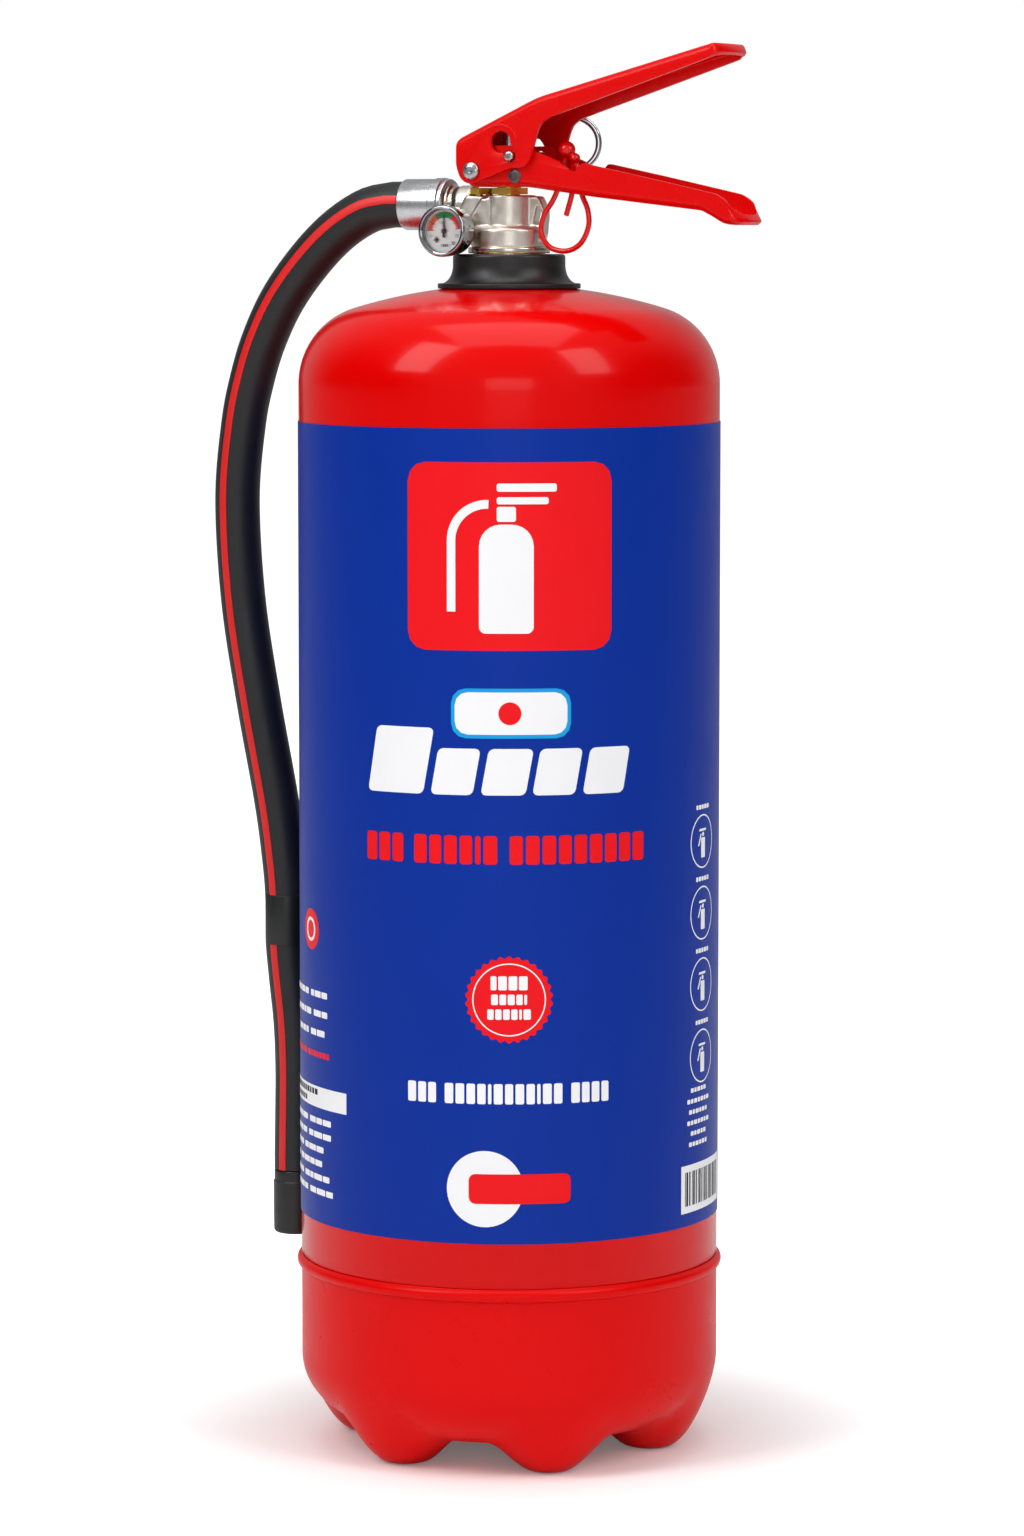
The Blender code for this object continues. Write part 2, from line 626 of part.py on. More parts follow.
def build_valve(parent):
    """The cast and machined valve body, with its gauge lug, outlet boss and side ear."""
    neck = VALVE_NECK_RADIUS
    profile = [
        (0.0, VALVE_NECK_LOW_Z),
        (neck - 0.0008, VALVE_NECK_LOW_Z),
        (neck, VALVE_NECK_LOW_Z + 0.0008),
        (neck, VALVE_FLANGE_Z),
        (VALVE_FLANGE_RADIUS - 0.0003, VALVE_FLANGE_Z),
        (VALVE_FLANGE_RADIUS, VALVE_FLANGE_Z + 0.0003),
        (VALVE_FLANGE_RADIUS, VALVE_BARREL_Z - 0.0005),
        (VALVE_FLANGE_RADIUS - 0.0005, VALVE_BARREL_Z),
        (VALVE_BARREL_RADIUS, VALVE_BARREL_Z),
        (VALVE_BARREL_RADIUS, VALVE_BOSS_Z - 0.0011),
        (VALVE_BARREL_RADIUS - 0.0011, VALVE_BOSS_Z),
        (VALVE_BOSS_RADIUS, VALVE_BOSS_Z),
        (VALVE_BOSS_RADIUS, VALVE_TOP_Z - 0.0004),
        (VALVE_BOSS_RADIUS - 0.0004, VALVE_TOP_Z),
        (0.0, VALVE_TOP_Z),
    ]
    valve = finish_mesh(
        "valve_body", lathe(profile, 32, closed=False), NICKEL_BRASS, parent, smooth_angle=SMOOTH
    )
    housing = [
        (OUTLET_FACE_X + 0.0034, VALVE_BARREL_Z + 0.0012, 0.0030),
        (0.0, VALVE_BARREL_Z + 0.0012),
        (0.0, VALVE_TOP_Z - 0.0003),
        (OUTLET_FACE_X + 0.0054, VALVE_TOP_Z - 0.0003, 0.0012),
        (OUTLET_FACE_X + 0.0034, VALVE_TOP_Z - 0.0050, 0.0012),
    ]
    join(valve, "housing", prism(rounded(housing), -0.0082, 0.0082))
    boss = rod(OUTLET_BOSS_RADIUS, 0.0, -OUTLET_FACE_X - 0.0148, 24, 0.0006)
    join(valve, "outlet_boss", turned(boss, (1, 0, 0), (OUTLET_FACE_X, 0.0, OUTLET_Z)))
    lug = rod(GAUGE_LUG_RADIUS, GAUGE_LUG_Y, 0.0030, 20, 0.0004)
    join(valve, "gauge_lug", turned(lug, (0, 1, 0), (GAUGE_X, 0.0, GAUGE_Z)))
    ear = [
        (0.0060, VALVE_BARREL_Z + 0.0020),
        (0.0150, VALVE_BARREL_Z + 0.0020, 0.0030),
        (0.0163, VALVE_BOSS_Z + 0.0060, 0.0040),
        (0.0135, VALVE_TOP_Z - 0.0004, 0.0015),
        (0.0060, VALVE_TOP_Z - 0.0004),
    ]
    join(valve, "ear", prism(rounded(ear), -0.0029, 0.0029))
    window = [
        (0.0112, VALVE_BOSS_Z + 0.0008, 0.0010),
        (0.0143, VALVE_BOSS_Z + 0.0012, 0.0013),
        (0.0150, VALVE_BOSS_Z + 0.0058, 0.0012),
        (0.0132, VALVE_BOSS_Z + 0.0088, 0.0006),
    ]
    cut(valve, "ear_window", prism(rounded(window), -0.0060, 0.0060))
    cut(valve, "chamber", rod(VALVE_BORE_RADIUS, VALVE_NECK_LOW_Z - 0.0050, SEAT_Z, 24))
    cut(valve, "seat", rod(SEAT_RADIUS, SEAT_Z - 0.0010, VALVE_TOP_Z + 0.0020, 16))
    cut(valve, "upper_chamber", rod(CHAMBER_RADIUS, SEAT_Z + 0.0050, VALVE_TOP_Z + 0.0010, 20))
    passage = rod(OUTLET_BORE_RADIUS, 0.0, -OUTLET_FACE_X + 0.0010, 14)
    cut(valve, "outlet", turned(passage, (1, 0, 0), (OUTLET_FACE_X - 0.0010, 0.0, OUTLET_Z)))
    socket = rod(0.0050, 0.0, 0.0056, 20)
    cut(valve, "outlet_socket", turned(socket, (1, 0, 0), (OUTLET_FACE_X - 0.0010, 0.0, OUTLET_Z)))
    port = rod(GAUGE_STUD_RADIUS + THREAD_CLEARANCE, GAUGE_LUG_Y - 0.0010, GAUGE_LUG_Y + 0.0060, 16)
    cut(valve, "gauge_port", turned(port, (0, 1, 0), (GAUGE_X, 0.0, GAUGE_Z)))
    feed = rod(0.0014, GAUGE_LUG_Y + 0.0050, 0.0012, 10)
    cut(valve, "gauge_feed", turned(feed, (0, 1, 0), (GAUGE_X, 0.0, GAUGE_Z)))
    drill = rod(0.0010, 0.0, -GAUGE_X, 10)
    cut(valve, "gauge_drilling", turned(drill, (1, 0, 0), (GAUGE_X, 0.0, SEAT_Z - 0.0013)))
    for name, side in (("front", -1.0), ("back", 1.0)):
        stud = rod(0.0017, VALVE_TOP_Z - 0.0050, VALVE_TOP_Z + 0.0010, 12)
        cut(valve, "stud_hole_" + name, turned(stud, (0, 0, 1), (STANDOFF_X, side * STANDOFF_Y, 0.0)))


def build_gland(parent):
    """The brass gland nut, its seal, the lock nut above the handle, and two standoffs."""
    hex_low = VALVE_TOP_Z + GAP
    hex_high = HANDLE_FLOOR_Z - GAP
    neck_high = HANDLE_FLOOR_Z + SHEET + GAP + LOCK_NUT_HEIGHT + 0.0006
    gland = finish_mesh("gland_nut", hexagon(GLAND_FLATS, hex_low, hex_high), BRASS, parent)
    stub = rod(CHAMBER_RADIUS - THREAD_CLEARANCE, VALVE_TOP_Z - 0.0012, hex_low + 0.0010, 20)
    join(gland, "stub", stub)
    join(gland, "neck", rod(GLAND_NECK_RADIUS, hex_high - 0.0010, neck_high, 24))
    bore = STEM_RADIUS + STEM_CLEARANCE
    cut(gland, "bore", rod(bore, VALVE_TOP_Z - 0.0050, neck_high + 0.0020, 16))
    seal_radius = STEM_RADIUS + 0.0008
    cut(gland, "seal_seat", rod(seal_radius + 0.0005, neck_high - 0.0016, neck_high + 0.0010, 16))
    seal = turned(ring(seal_radius, 0.00045, 20, 6), (0, 0, 1), (0, 0, neck_high - 0.0009))
    finish_mesh("gland_seal", seal, BLACK_RUBBER, parent, smooth_angle=SMOOTH)
    nut_low = HANDLE_FLOOR_Z + SHEET + GAP
    nut_high = nut_low + LOCK_NUT_HEIGHT
    nut = finish_mesh("handle_lock_nut", hexagon(LOCK_NUT_FLATS, nut_low, nut_high), BRASS, parent)
    thread = rod(GLAND_NECK_RADIUS + THREAD_CLEARANCE, nut_low - 0.001, nut_high + 0.001, 24)
    cut(nut, "bore", thread)
    for name, side in (("front", -1.0), ("back", 1.0)):
        place = (STANDOFF_X, side * STANDOFF_Y, 0.0)
        head = turned(hexagon(STANDOFF_FLATS, hex_low, hex_high), (0, 0, 1), place)
        standoff = finish_mesh("standoff_" + name, head, BRASS, parent)
        stud = rod(0.0014, VALVE_TOP_Z - 0.0044, hex_low + 0.0008, 10)
        join(standoff, "stud", turned(stud, (0, 0, 1), place))


def build_stem(parent, stem_frame):
    """The sliding stem with its flange, rubber disc and return spring, above the dip tube."""
    flange_high = SEAT_Z - GAP - 0.0019 - GAP
    flange_low = flange_high - 0.0015
    top = lever_underside(-0.7 * STEM_RADIUS) - GAP
    base = (0.0, 0.0, SEAT_Z)
    profile = [
        (0.0, flange_low - 0.0030),
        (STEM_RADIUS - 0.0003, flange_low - 0.0030),
        (STEM_RADIUS, flange_low - 0.0027),
        (STEM_RADIUS, flange_low),
        (0.0052, flange_low),
        (0.0052, flange_high),
        (STEM_RADIUS, flange_high),
        (STEM_RADIUS, top - 0.0015),
        (STEM_RADIUS - 0.0005, top - 0.0006),
        (STEM_RADIUS - 0.0013, top - 0.0001),
        (0.0, top),
    ]
    finish_mesh(
        "valve_stem", lathe(profile, 20, closed=False), STEEL, stem_frame, base, SMOOTH
    )
    disc = tube(STEM_RADIUS + 0.0001, 0.0056, flange_high + GAP, SEAT_Z - GAP, 24)
    finish_mesh("stem_disc", disc, BLACK_RUBBER, stem_frame, base, SMOOTH)
    retainer_z = VALVE_NECK_LOW_Z + 0.0085
    retainer = [
        (STEM_RADIUS + 0.0008, retainer_z),
        (VALVE_BORE_RADIUS - GAP, retainer_z),
        (VALVE_BORE_RADIUS - GAP, retainer_z + 0.0030),
        (VALVE_BORE_RADIUS - 0.0010, retainer_z + 0.0030),
        (VALVE_BORE_RADIUS - 0.0010, retainer_z + 0.0014),
        (STEM_RADIUS + 0.0008, retainer_z + 0.0014),
    ]
    holder = finish_mesh("spring_retainer", lathe(retainer, 24), BRASS, parent, smooth_angle=SMOOTH)
    for index in range(4):
        angle = TURN * (index + 0.5) / 4.0
        place = (0.0050 * math.cos(angle), 0.0050 * math.sin(angle), 0.0)
        port = turned(rod(0.0009, retainer_z - 0.001, retainer_z + 0.002, 8), (0, 0, 1), place)
        cut(holder, "port_%d" % index, port)
    wire = 0.0005
    low = retainer_z + 0.0014 + wire + GAP
    high = flange_low - wire - GAP
    coil = [
        (0.0040 * math.cos(TURN * t * 5.5), 0.0040 * math.sin(TURN * t * 5.5), low + (high - low) * t)
        for t in np.linspace(0.0, 1.0, 50)
    ]
    finish_mesh("valve_spring", sweep(coil, wire, 5), STEEL, parent, (0.0, 0.0, low), SMOOTH)
    tube_top = retainer_z - GAP
    dip = tube(DIP_TUBE_RADIUS - DIP_TUBE_WALL, DIP_TUBE_RADIUS, DIP_TUBE_LOW_Z, tube_top, 24)
    pipe = finish_mesh("dip_tube", dip, TUBE_PLASTIC, parent, smooth_angle=SMOOTH)
    wide = 2.0 * DIP_TUBE_RADIUS
    low = DIP_TUBE_LOW_Z
    mitre = [(-wide, low - 0.010), (wide, low - 0.010), (wide, low + 0.008)]
    cut(pipe, "mitre", prism(mitre, -wide, wide))


# ---------------------------------------------------------------- lever and handle

# Side outlines of the two pressed channels, as (x, z) points on their outer faces.
LEVER_TOP = [
    (-0.0150, 0.4984),
    (-0.0145, 0.4992),
    (-0.0133, 0.4999),
    (0.0150, 0.5130),
    (0.0176, 0.5141),
    (0.0205, 0.5151),
    (0.0560, 0.5246),
    (0.0860, 0.5327),
    (0.0900, 0.5337),
    (0.0920, 0.5335),
    (0.0932, 0.5326),
    (0.0940, 0.5309),
]
LEVER_BOTTOM = [
    (-0.0150, 0.4900),
    (-0.0142, 0.4862),
    (-0.0126, 0.4838),
    (-0.0106, 0.4826),
    (-0.0086, 0.4824),
    (-0.0060, 0.4832),
    (0.0077, 0.4883),
    (0.0122, 0.4883),
    (0.0140, 0.4889),
    (0.0158, 0.4914),
    (0.0172, 0.4959),
    (0.0186, 0.5010),
    (0.0200, 0.5043),
    (0.0235, 0.5068),
    (0.0317, 0.5095),
    (0.0560, 0.5174),
    (0.0880, 0.5279),
    (0.0922, 0.5293),
    (0.0940, 0.5303),
]
HANDLE_TOP = [
    (-0.0128, 0.4900),
    (-0.0100, 0.4930),
    (-0.0040, HANDLE_TOP_AT_PIN),
    (0.0120, HANDLE_TOP_AT_PIN),
    (0.0160, 0.4948),
    (0.0264, 0.4907),
    (0.0296, 0.4884),
    (0.0312, 0.4872),
    (0.0330, 0.4869),
    (0.0344, 0.4874),
    (0.0352, 0.4892),
    (0.0364, 0.4899),
    (0.0600, 0.4850),
    (0.0907, 0.4783),
    (0.0937, 0.4766),
    (0.0968, 0.4738),
    (0.0998, 0.4706),
    (HANDLE_TIP_X, 0.4687),
]
HANDLE_BOTTOM = [
    (-0.0128, 0.4838),
    (-0.0114, HANDLE_FLOOR_Z + 0.0006),
    (-0.0100, HANDLE_FLOOR_Z),
    (0.0113, HANDLE_FLOOR_Z),
    (0.0150, HANDLE_FLOOR_Z - 0.0004),
    (0.0401, 0.4773),
    (0.0780, 0.4729),
    (0.0841, 0.4722),
    (0.0880, 0.4703),
    (0.0925, 0.4677),
    (0.0945, 0.4671),
    (0.0995, 0.4668),
    (HANDLE_TIP_X, 0.4680),
]


def height_at(outline, x):
    return float(np.interp(x, [point[0] for point in outline], [point[1] for point in outline]))


def channel_solid(top, bottom, half_width, corner, web, nose_depth):
    """The outer or inner block of a pressed channel. The web's long edges are rounded by the
    corner radius, and the nose is rounded in plan over the nose depth."""
    back = top[0][0]
    nose = top[-1][0]
    stations = sorted({round(point[0], 6) for point in top} | {round(point[0], 6) for point in bottom})
    edge_turns = [math.radians(angle) for angle in (0.0, 45.0, 90.0)]
    near = [(half_width - corner * (1.0 - math.cos(a)), corner * (1.0 - math.sin(a))) for a in edge_turns]
    inner = [(half_width * share, 0.0) for share in (0.55, 0.0)]
    half = near + inner
    slices = [(-y, inset) for y, inset in half] + [(y, inset) for y, inset in reversed(half[:-1])]
    bend_from = nose - nose_depth - 0.0010
    mesh_data = bmesh.new()
    loops = []
    for y, inset in slices:
        reach = nose_depth * (1.0 - math.sqrt(max(0.0, 1.0 - (y / (half_width * 1.01)) ** 2)))
        front = nose - reach
        back_here = back + (inset if web == "top" else inset * 0.5)
        upper = []
        lower = []
        for x in stations:
            place = x
            if x > bend_from:
                place = bend_from + (x - bend_from) * (front - bend_from) / (nose - bend_from)
            place = max(place, back_here + (x - back) * 0.2)
            high = height_at(top, x) - (inset if web == "top" else 0.0)
            low = height_at(bottom, x) + (inset if web == "bottom" else 0.0)
            if high - low < 0.0002:
                middle = (high + low) / 2.0
                high = middle + 0.0001
                low = middle - 0.0001
            upper.append(mesh_data.verts.new((place, y, high)))
            lower.append(mesh_data.verts.new((place, y, low)))
        loops.append(upper + lower[::-1])
    for near_loop, far_loop in zip(loops, loops[1:]):
        count = len(near_loop)
        for index in range(count):
            after = (index + 1) % count
            mesh_data.faces.new((near_loop[index], near_loop[after], far_loop[after], far_loop[index]))
    mesh_data.faces.new(loops[0])
    mesh_data.faces.new(loops[-1])
    bmesh.ops.triangulate(mesh_data, faces=mesh_data.faces)
    return mesh_data


def lever_underside(x):
    """The height of the lever's web above the stem, on its under face."""
    slope = (height_at(LEVER_TOP, x + 0.002) - height_at(LEVER_TOP, x - 0.002)) / 0.004
    return height_at(LEVER_TOP, x) - SHEET * math.hypot(1.0, slope)


def inner_top(outline):
    """The under face of a web: each point moved down by the sheet's thickness across the slope."""
    points = []
    for x, z in outline:
        before = height_at(outline, x - 0.003)
        after = height_at(outline, x + 0.003)
        points.append((x, z - SHEET * math.hypot(1.0, (after - before) / 0.006)))
    return points


def shifted_ends(outline, back, nose):
    """The outline between the sheet's inner faces at the back and the nose."""
    middle = [point for point in outline if back < point[0] < nose]
    return [(back, height_at(outline, back))] + middle + [(nose, height_at(outline, nose))]


def y_hole(radius, x, z, reach, steps=20):
    return turned(rod(radius, -reach, reach, steps), (0, 1, 0), (x, 0.0, z))


def slot_sweep(radius, reach):
    """The safety pin's path as the lever turns about its pivot, seen from the lever."""
    outline = []
    offset = Vector((PIN_X - PIVOT_X, PIN_Z - PIVOT_Z))
    arm = offset.length
    first = math.atan2(offset.y, offset.x)
    last = first + LEVER_TRAVEL
    centre = (PIVOT_X, PIVOT_Z)
    start = arc(centre, arm, first, first, 1)[0]
    end = arc(centre, arm, last, last, 1)[0]
    outline += arc(start, radius, first + math.pi, first + TURN, 6)
    outline += arc(centre, arm + radius, first, last, 4)[1:-1]
    outline += arc(end, radius, last, last + math.pi, 6)
    outline += list(reversed(arc(centre, arm - radius, first, last, 4)))[1:-1]
    return prism(outline, -reach, reach)


def build_lever(parent):
    """The squeeze lever: an inverted channel that turns on the pivot pin and presses the stem."""
    pivot = (PIVOT_X, 0.0, PIVOT_Z)
    sizes = (LEVER_HALF_WIDTH, LEVER_CORNER, "top", LEVER_NOSE_DEPTH)
    outer = channel_solid(LEVER_TOP, LEVER_BOTTOM, *sizes)
    lever = finish_mesh("squeeze_lever", outer, RED_SHEET, parent, pivot, SMOOTH)
    back = LEVER_TOP[0][0] + SHEET
    nose = LEVER_TOP[-1][0] - SHEET
    top = shifted_ends(inner_top(LEVER_TOP), back, nose)
    low = min(point[1] for point in LEVER_BOTTOM) - 0.010
    bottom = [(back, low), (nose, low)]
    sizes = (LEVER_HALF_WIDTH - SHEET, LEVER_CORNER - SHEET, "top", LEVER_NOSE_DEPTH - NOSE_INSET)
    inner = channel_solid(top, bottom, *sizes)
    cut(lever, "inside", inner)
    between = LEVER_HALF_WIDTH - SHEET
    rear_edge = PIVOT_Z + 0.0043
    cut(lever, "rear_opening", block((back - 0.010, -between, low), (back + 0.002, between, rear_edge)))
    reach = LEVER_HALF_WIDTH + 0.005
    cut(lever, "pivot_hole", y_hole(PIVOT_RADIUS + PIN_CLEARANCE, PIVOT_X, PIVOT_Z, reach))
    cut(lever, "window", y_hole(LEVER_WINDOW_RADIUS, LEVER_WINDOW_X, LEVER_WINDOW_Z, reach, 28))
    cut(lever, "pin_slot", slot_sweep(PIN_RADIUS + PIN_CLEARANCE, reach))


def build_handle(parent):
    """The carry handle: an upright channel clamped on the valve, with the pivot and pin holes."""
    sizes = (HANDLE_HALF_WIDTH, HANDLE_CORNER, "bottom", HANDLE_NOSE_DEPTH)
    outer = channel_solid(HANDLE_TOP, HANDLE_BOTTOM, *sizes)
    handle = finish_mesh("carry_handle", outer, RED_SHEET, parent, smooth_angle=SMOOTH)
    back = HANDLE_BOTTOM[0][0] - 0.002
    nose = HANDLE_BOTTOM[-1][0] - SHEET
    floor = []
    for x, z in HANDLE_BOTTOM:
        slope = (height_at(HANDLE_BOTTOM, x + 0.002) - height_at(HANDLE_BOTTOM, x - 0.002)) / 0.004
        floor.append((x, z + SHEET * math.hypot(1.0, min(abs(slope), 0.6))))
    floor[0] = (floor[0][0], HANDLE_FLOOR_Z + SHEET)
    floor[1] = (floor[1][0], HANDLE_FLOOR_Z + SHEET)
    bottom = [(back, HANDLE_FLOOR_Z + SHEET)] + shifted_ends(floor, HANDLE_BOTTOM[0][0], nose)
    high = max(point[1] for point in HANDLE_TOP) + 0.010
    top = [(back, high), (nose, high)]
    depth = HANDLE_NOSE_DEPTH - NOSE_INSET
    sizes = (HANDLE_HALF_WIDTH - SHEET, HANDLE_CORNER - SHEET, "bottom", depth)
    inner = channel_solid(top, bottom, *sizes)
    cut(handle, "inside", inner)
    reach = HANDLE_HALF_WIDTH + 0.005
    cut(handle, "pivot_hole", y_hole(PIVOT_RADIUS + 0.0001, PIVOT_X, PIVOT_Z, reach))
    cut(handle, "pin_hole", y_hole(PIN_RADIUS + PIN_CLEARANCE, PIN_X, PIN_Z, reach))
    low = HANDLE_FLOOR_Z - 0.003
    cut(handle, "gland_hole", rod(GLAND_NECK_RADIUS + THREAD_CLEARANCE, low, low + 0.008, 24))
    cut(handle, "seal_slot", block((0.0212, -0.0075, low - 0.005), (0.0348, -0.0025, low + 0.008)))
    for name, side in (("front", -1.0), ("back", 1.0)):
        place = (RIVET_X, side * HANDLE_HALF_WIDTH, RIVET_Z)
        hole = rod(RIVET_RADIUS + 0.0001, -0.004, 0.004, 12)
        cut(handle, "rivet_hole_" + name, turned(hole, (0, 1, 0), place))


def build_pins(parent, pin_frame, ring_frame):
    """The riveted pivot pin, the handle's cross rivets, the safety pin and its pull ring."""
    head_y = LEVER_HALF_WIDTH + GAP
    half = [(PIVOT_RADIUS, head_y), (PIVOT_HEAD_RADIUS, head_y), (PIVOT_HEAD_RADIUS, head_y + 0.0006)]
    half += [(PIVOT_HEAD_RADIUS * 0.82, head_y + 0.0012), (PIVOT_HEAD_RADIUS * 0.4, head_y + 0.0014)]
    half += [(0.0, head_y + 0.0015)]
    profile = [(radius, -y) for radius, y in reversed(half)] + half
    pivot = turned(lathe(profile, 18, closed=False), (0, 1, 0), (PIVOT_X, 0.0, PIVOT_Z))
    finish_mesh("pivot_pin", pivot, STEEL, parent, smooth_angle=SMOOTH)
    for name, side in (("front", -1.0), ("back", 1.0)):
        wall = HANDLE_HALF_WIDTH
        shank = RIVET_RADIUS
        profile = [(0.0, -SHEET - 0.0008), (shank, -SHEET - 0.0008), (shank, 0.0001)]
        profile += [(shank * 2.0, 0.0001), (shank * 2.0, 0.0003), (shank * 1.4, 0.00045), (0.0, 0.0005)]
        rivet = turned(lathe(profile, 12, closed=False), (0, side, 0), (RIVET_X, side * wall, RIVET_Z))
        finish_mesh("handle_rivet_" + name, rivet, STEEL, parent, smooth_angle=SMOOTH)
    start = -LEVER_HALF_WIDTH - 0.0019
    profile = [
        (0.0, start),
        (PIN_RADIUS * 0.55, start),
        (PIN_RADIUS, start + 0.0009),
        (PIN_RADIUS, EYE_Y - EYE_RADIUS + 0.0006),
        (0.0, EYE_Y - EYE_RADIUS + 0.0006),
    ]
    origin = (PIN_X, 0.0, PIN_Z)
    shank = turned(lathe(profile, 18, closed=False), (0, 1, 0), origin)
    pin = finish_mesh("safety_pin", shank, STEEL, pin_frame, origin, SMOOTH)
    lean = Matrix.Rotation(RING_LIFT, 4, Vector((0.0, -1.0, 0.0)))
    eye = turned(rod(EYE_RADIUS, -0.0012, 0.0012, 20, 0.0003), (0, 0, 1), (0.0, 0.0, 0.0))
    bmesh.ops.transform(eye, matrix=Matrix.Translation((PIN_X, EYE_Y, PIN_Z)) @ lean, verts=eye.verts)
    join(pin, "eye", eye)
    hole = rod(EYE_HOLE_RADIUS, -0.0040, 0.0040, 14)
    bmesh.ops.transform(hole, matrix=Matrix.Translation((PIN_X, EYE_Y, PIN_Z)) @ lean, verts=hole.verts)
    cut(pin, "eye_hole", hole)
    centre, turn = ring_place()
    hoop = ring(RING_RADIUS, RING_WIRE_RADIUS, 32, 7)
    bmesh.ops.transform(hoop, matrix=Matrix.Translation(centre) @ turn, verts=hoop.verts)
    finish_mesh("pull_ring", hoop, CHROME, ring_frame, (PIN_X, EYE_Y, PIN_Z), SMOOTH)


def ring_place():
    """Where the pull ring's centre is at rest, and the turn from a flat ring to its pose."""
    out = Vector((math.cos(RING_YAW), math.sin(RING_YAW), 0.0))
    spoke = (out * math.cos(RING_LIFT) + Vector((0.0, 0.0, math.sin(RING_LIFT)))).normalized()
    normal = out.cross(Vector((0.0, 0.0, 1.0))).normalized()
    across = normal.cross(spoke)
    turn = Matrix((spoke, across, normal)).transposed().to_4x4()
    return Vector((PIN_X, EYE_Y, PIN_Z)) + spoke * RING_RADIUS, turn


# ---------------------------------------------------------------- gauge


def along_y(mesh_data):
    """Turns a piece lathed about Z so that its heights are Y values on the gauge's axis."""
    return turned(mesh_data, (0, 1, 0), (GAUGE_X, 0.0, GAUGE_Z))


def build_gauge(parent, pointer_frame):
    """The pressure gauge: socket, case, bourdon tube, dial, pointer, lens and bezel."""
    front = GAUGE_FRONT_Y
    back = GAUGE_BACK_Y
    wall = GAUGE_CASE_WALL
    case_radius = GAUGE_RADIUS - 0.0006
    stud = GAUGE_STUD_RADIUS
    hex_front = back + 0.0004
    hex_back = GAUGE_LUG_Y - 0.0013
    socket = along_y(rod(stud, back - 0.0030, GAUGE_LUG_Y + 0.0040, 16))
    body = finish_mesh("gauge_socket", socket, BRASS, parent, smooth_angle=SMOOTH)
    join(body, "hex", along_y(hexagon(0.0100, hex_front, hex_back)))
    cut(body, "bore", along_y(rod(0.0008, back - 0.0020, GAUGE_LUG_Y + 0.0060, 12)))
    seal_place = (GAUGE_X, (hex_back + GAUGE_LUG_Y) / 2.0, GAUGE_Z)
    seal = turned(ring(stud + 0.0010, 0.0005, 20, 6), (0, 1, 0), seal_place)
    finish_mesh("gauge_o_ring", seal, BLACK_RUBBER, parent, smooth_angle=SMOOTH)
    case_front = front + 0.0018
    case = [
        (stud + 0.0002, back),
        (case_radius - 0.0040, back),
        (case_radius - 0.0013, back - 0.0011),
        (case_radius, back - 0.0036),
        (case_radius, case_front),
        (case_radius - wall, case_front),
        (case_radius - wall, back - 0.0039),
        (case_radius - 0.0043, back - wall),
        (stud + 0.0002, back - wall),
    ]
    finish_mesh("gauge_case", along_y(lathe(case, 28)), CHROME, parent, smooth_angle=SMOOTH)
    lens_back = case_front - 0.0001
    lens_front = lens_back - 0.0007
    lens = along_y(rod(case_radius - 0.0002, lens_front, lens_back, 28))
    finish_mesh("gauge_lens", lens, CLEAR, parent, smooth_angle=SMOOTH)
    inside = case_radius + 0.0001
    opening = GAUGE_RADIUS - GAUGE_LIP
    bezel = [
        (inside, case_front + 0.0026),
        (GAUGE_RADIUS, case_front + 0.0026),
        (GAUGE_RADIUS, front + 0.0007),
        (GAUGE_RADIUS - 0.0004, front + 0.0001),
        (GAUGE_RADIUS - 0.0009, front),
        (opening, front + 0.0004),
        (opening, lens_front - 0.0001),
        (inside, lens_front - 0.0001),
    ]
    finish_mesh("gauge_bezel", along_y(lathe(bezel, 28)), CHROME, parent, smooth_angle=SMOOTH)
    dial_y = case_front + 0.0016
    dial = along_y(tube(0.0008, case_radius - wall - 0.0002, dial_y, dial_y + 0.0004, 28))
    finish_mesh("gauge_dial", dial, DIAL_WHITE, parent, smooth_angle=SMOOTH)
    coil_y = (dial_y + back) / 2.0
    coil = [(GAUGE_X + 0.0043, coil_y, GAUGE_Z)]
    coil += [
        (GAUGE_X + radius * math.cos(angle), coil_y, GAUGE_Z + radius * math.sin(angle))
        for radius, angle in zip(
            [0.0052] + [0.0060] * 14, np.linspace(math.radians(12.0), math.radians(275.0), 15)
        )
    ]
    finish_mesh("bourdon_tube", sweep(coil, 0.0008, 6), BRASS, parent, smooth_angle=SMOOTH)
    needle_y = dial_y - 0.0005
    hub = turned(rod(0.0011, needle_y - 0.0006, needle_y, 14), (0, 1, 0), (GAUGE_X, 0.0, GAUGE_Z))
    pivot = (GAUGE_X, needle_y, GAUGE_Z)
    pointer = finish_mesh("gauge_pointer", hub, BLACK_PLASTIC, pointer_frame, pivot, SMOOTH)
    needle = [(-0.0005, -0.0024), (0.0005, -0.0024), (0.00018, 0.0060), (-0.00018, 0.0060)]
    placed = [(GAUGE_X + x, GAUGE_Z + z) for x, z in needle]
    join(pointer, "needle", prism(placed, needle_y - 0.0004, needle_y - 0.0001))
    spindle = rod(0.0005, needle_y - 0.0003, coil_y - 0.0015, 8)
    join(pointer, "spindle", turned(spindle, (0, 1, 0), (GAUGE_X, 0.0, GAUGE_Z)))


# ---------------------------------------------------------------- hose side


def along_x(mesh_data):
    """Turns a piece lathed about Z so that its heights are X values on the outlet's axis."""
    return turned(mesh_data, (1, 0, 0), (0.0, 0.0, OUTLET_Z))


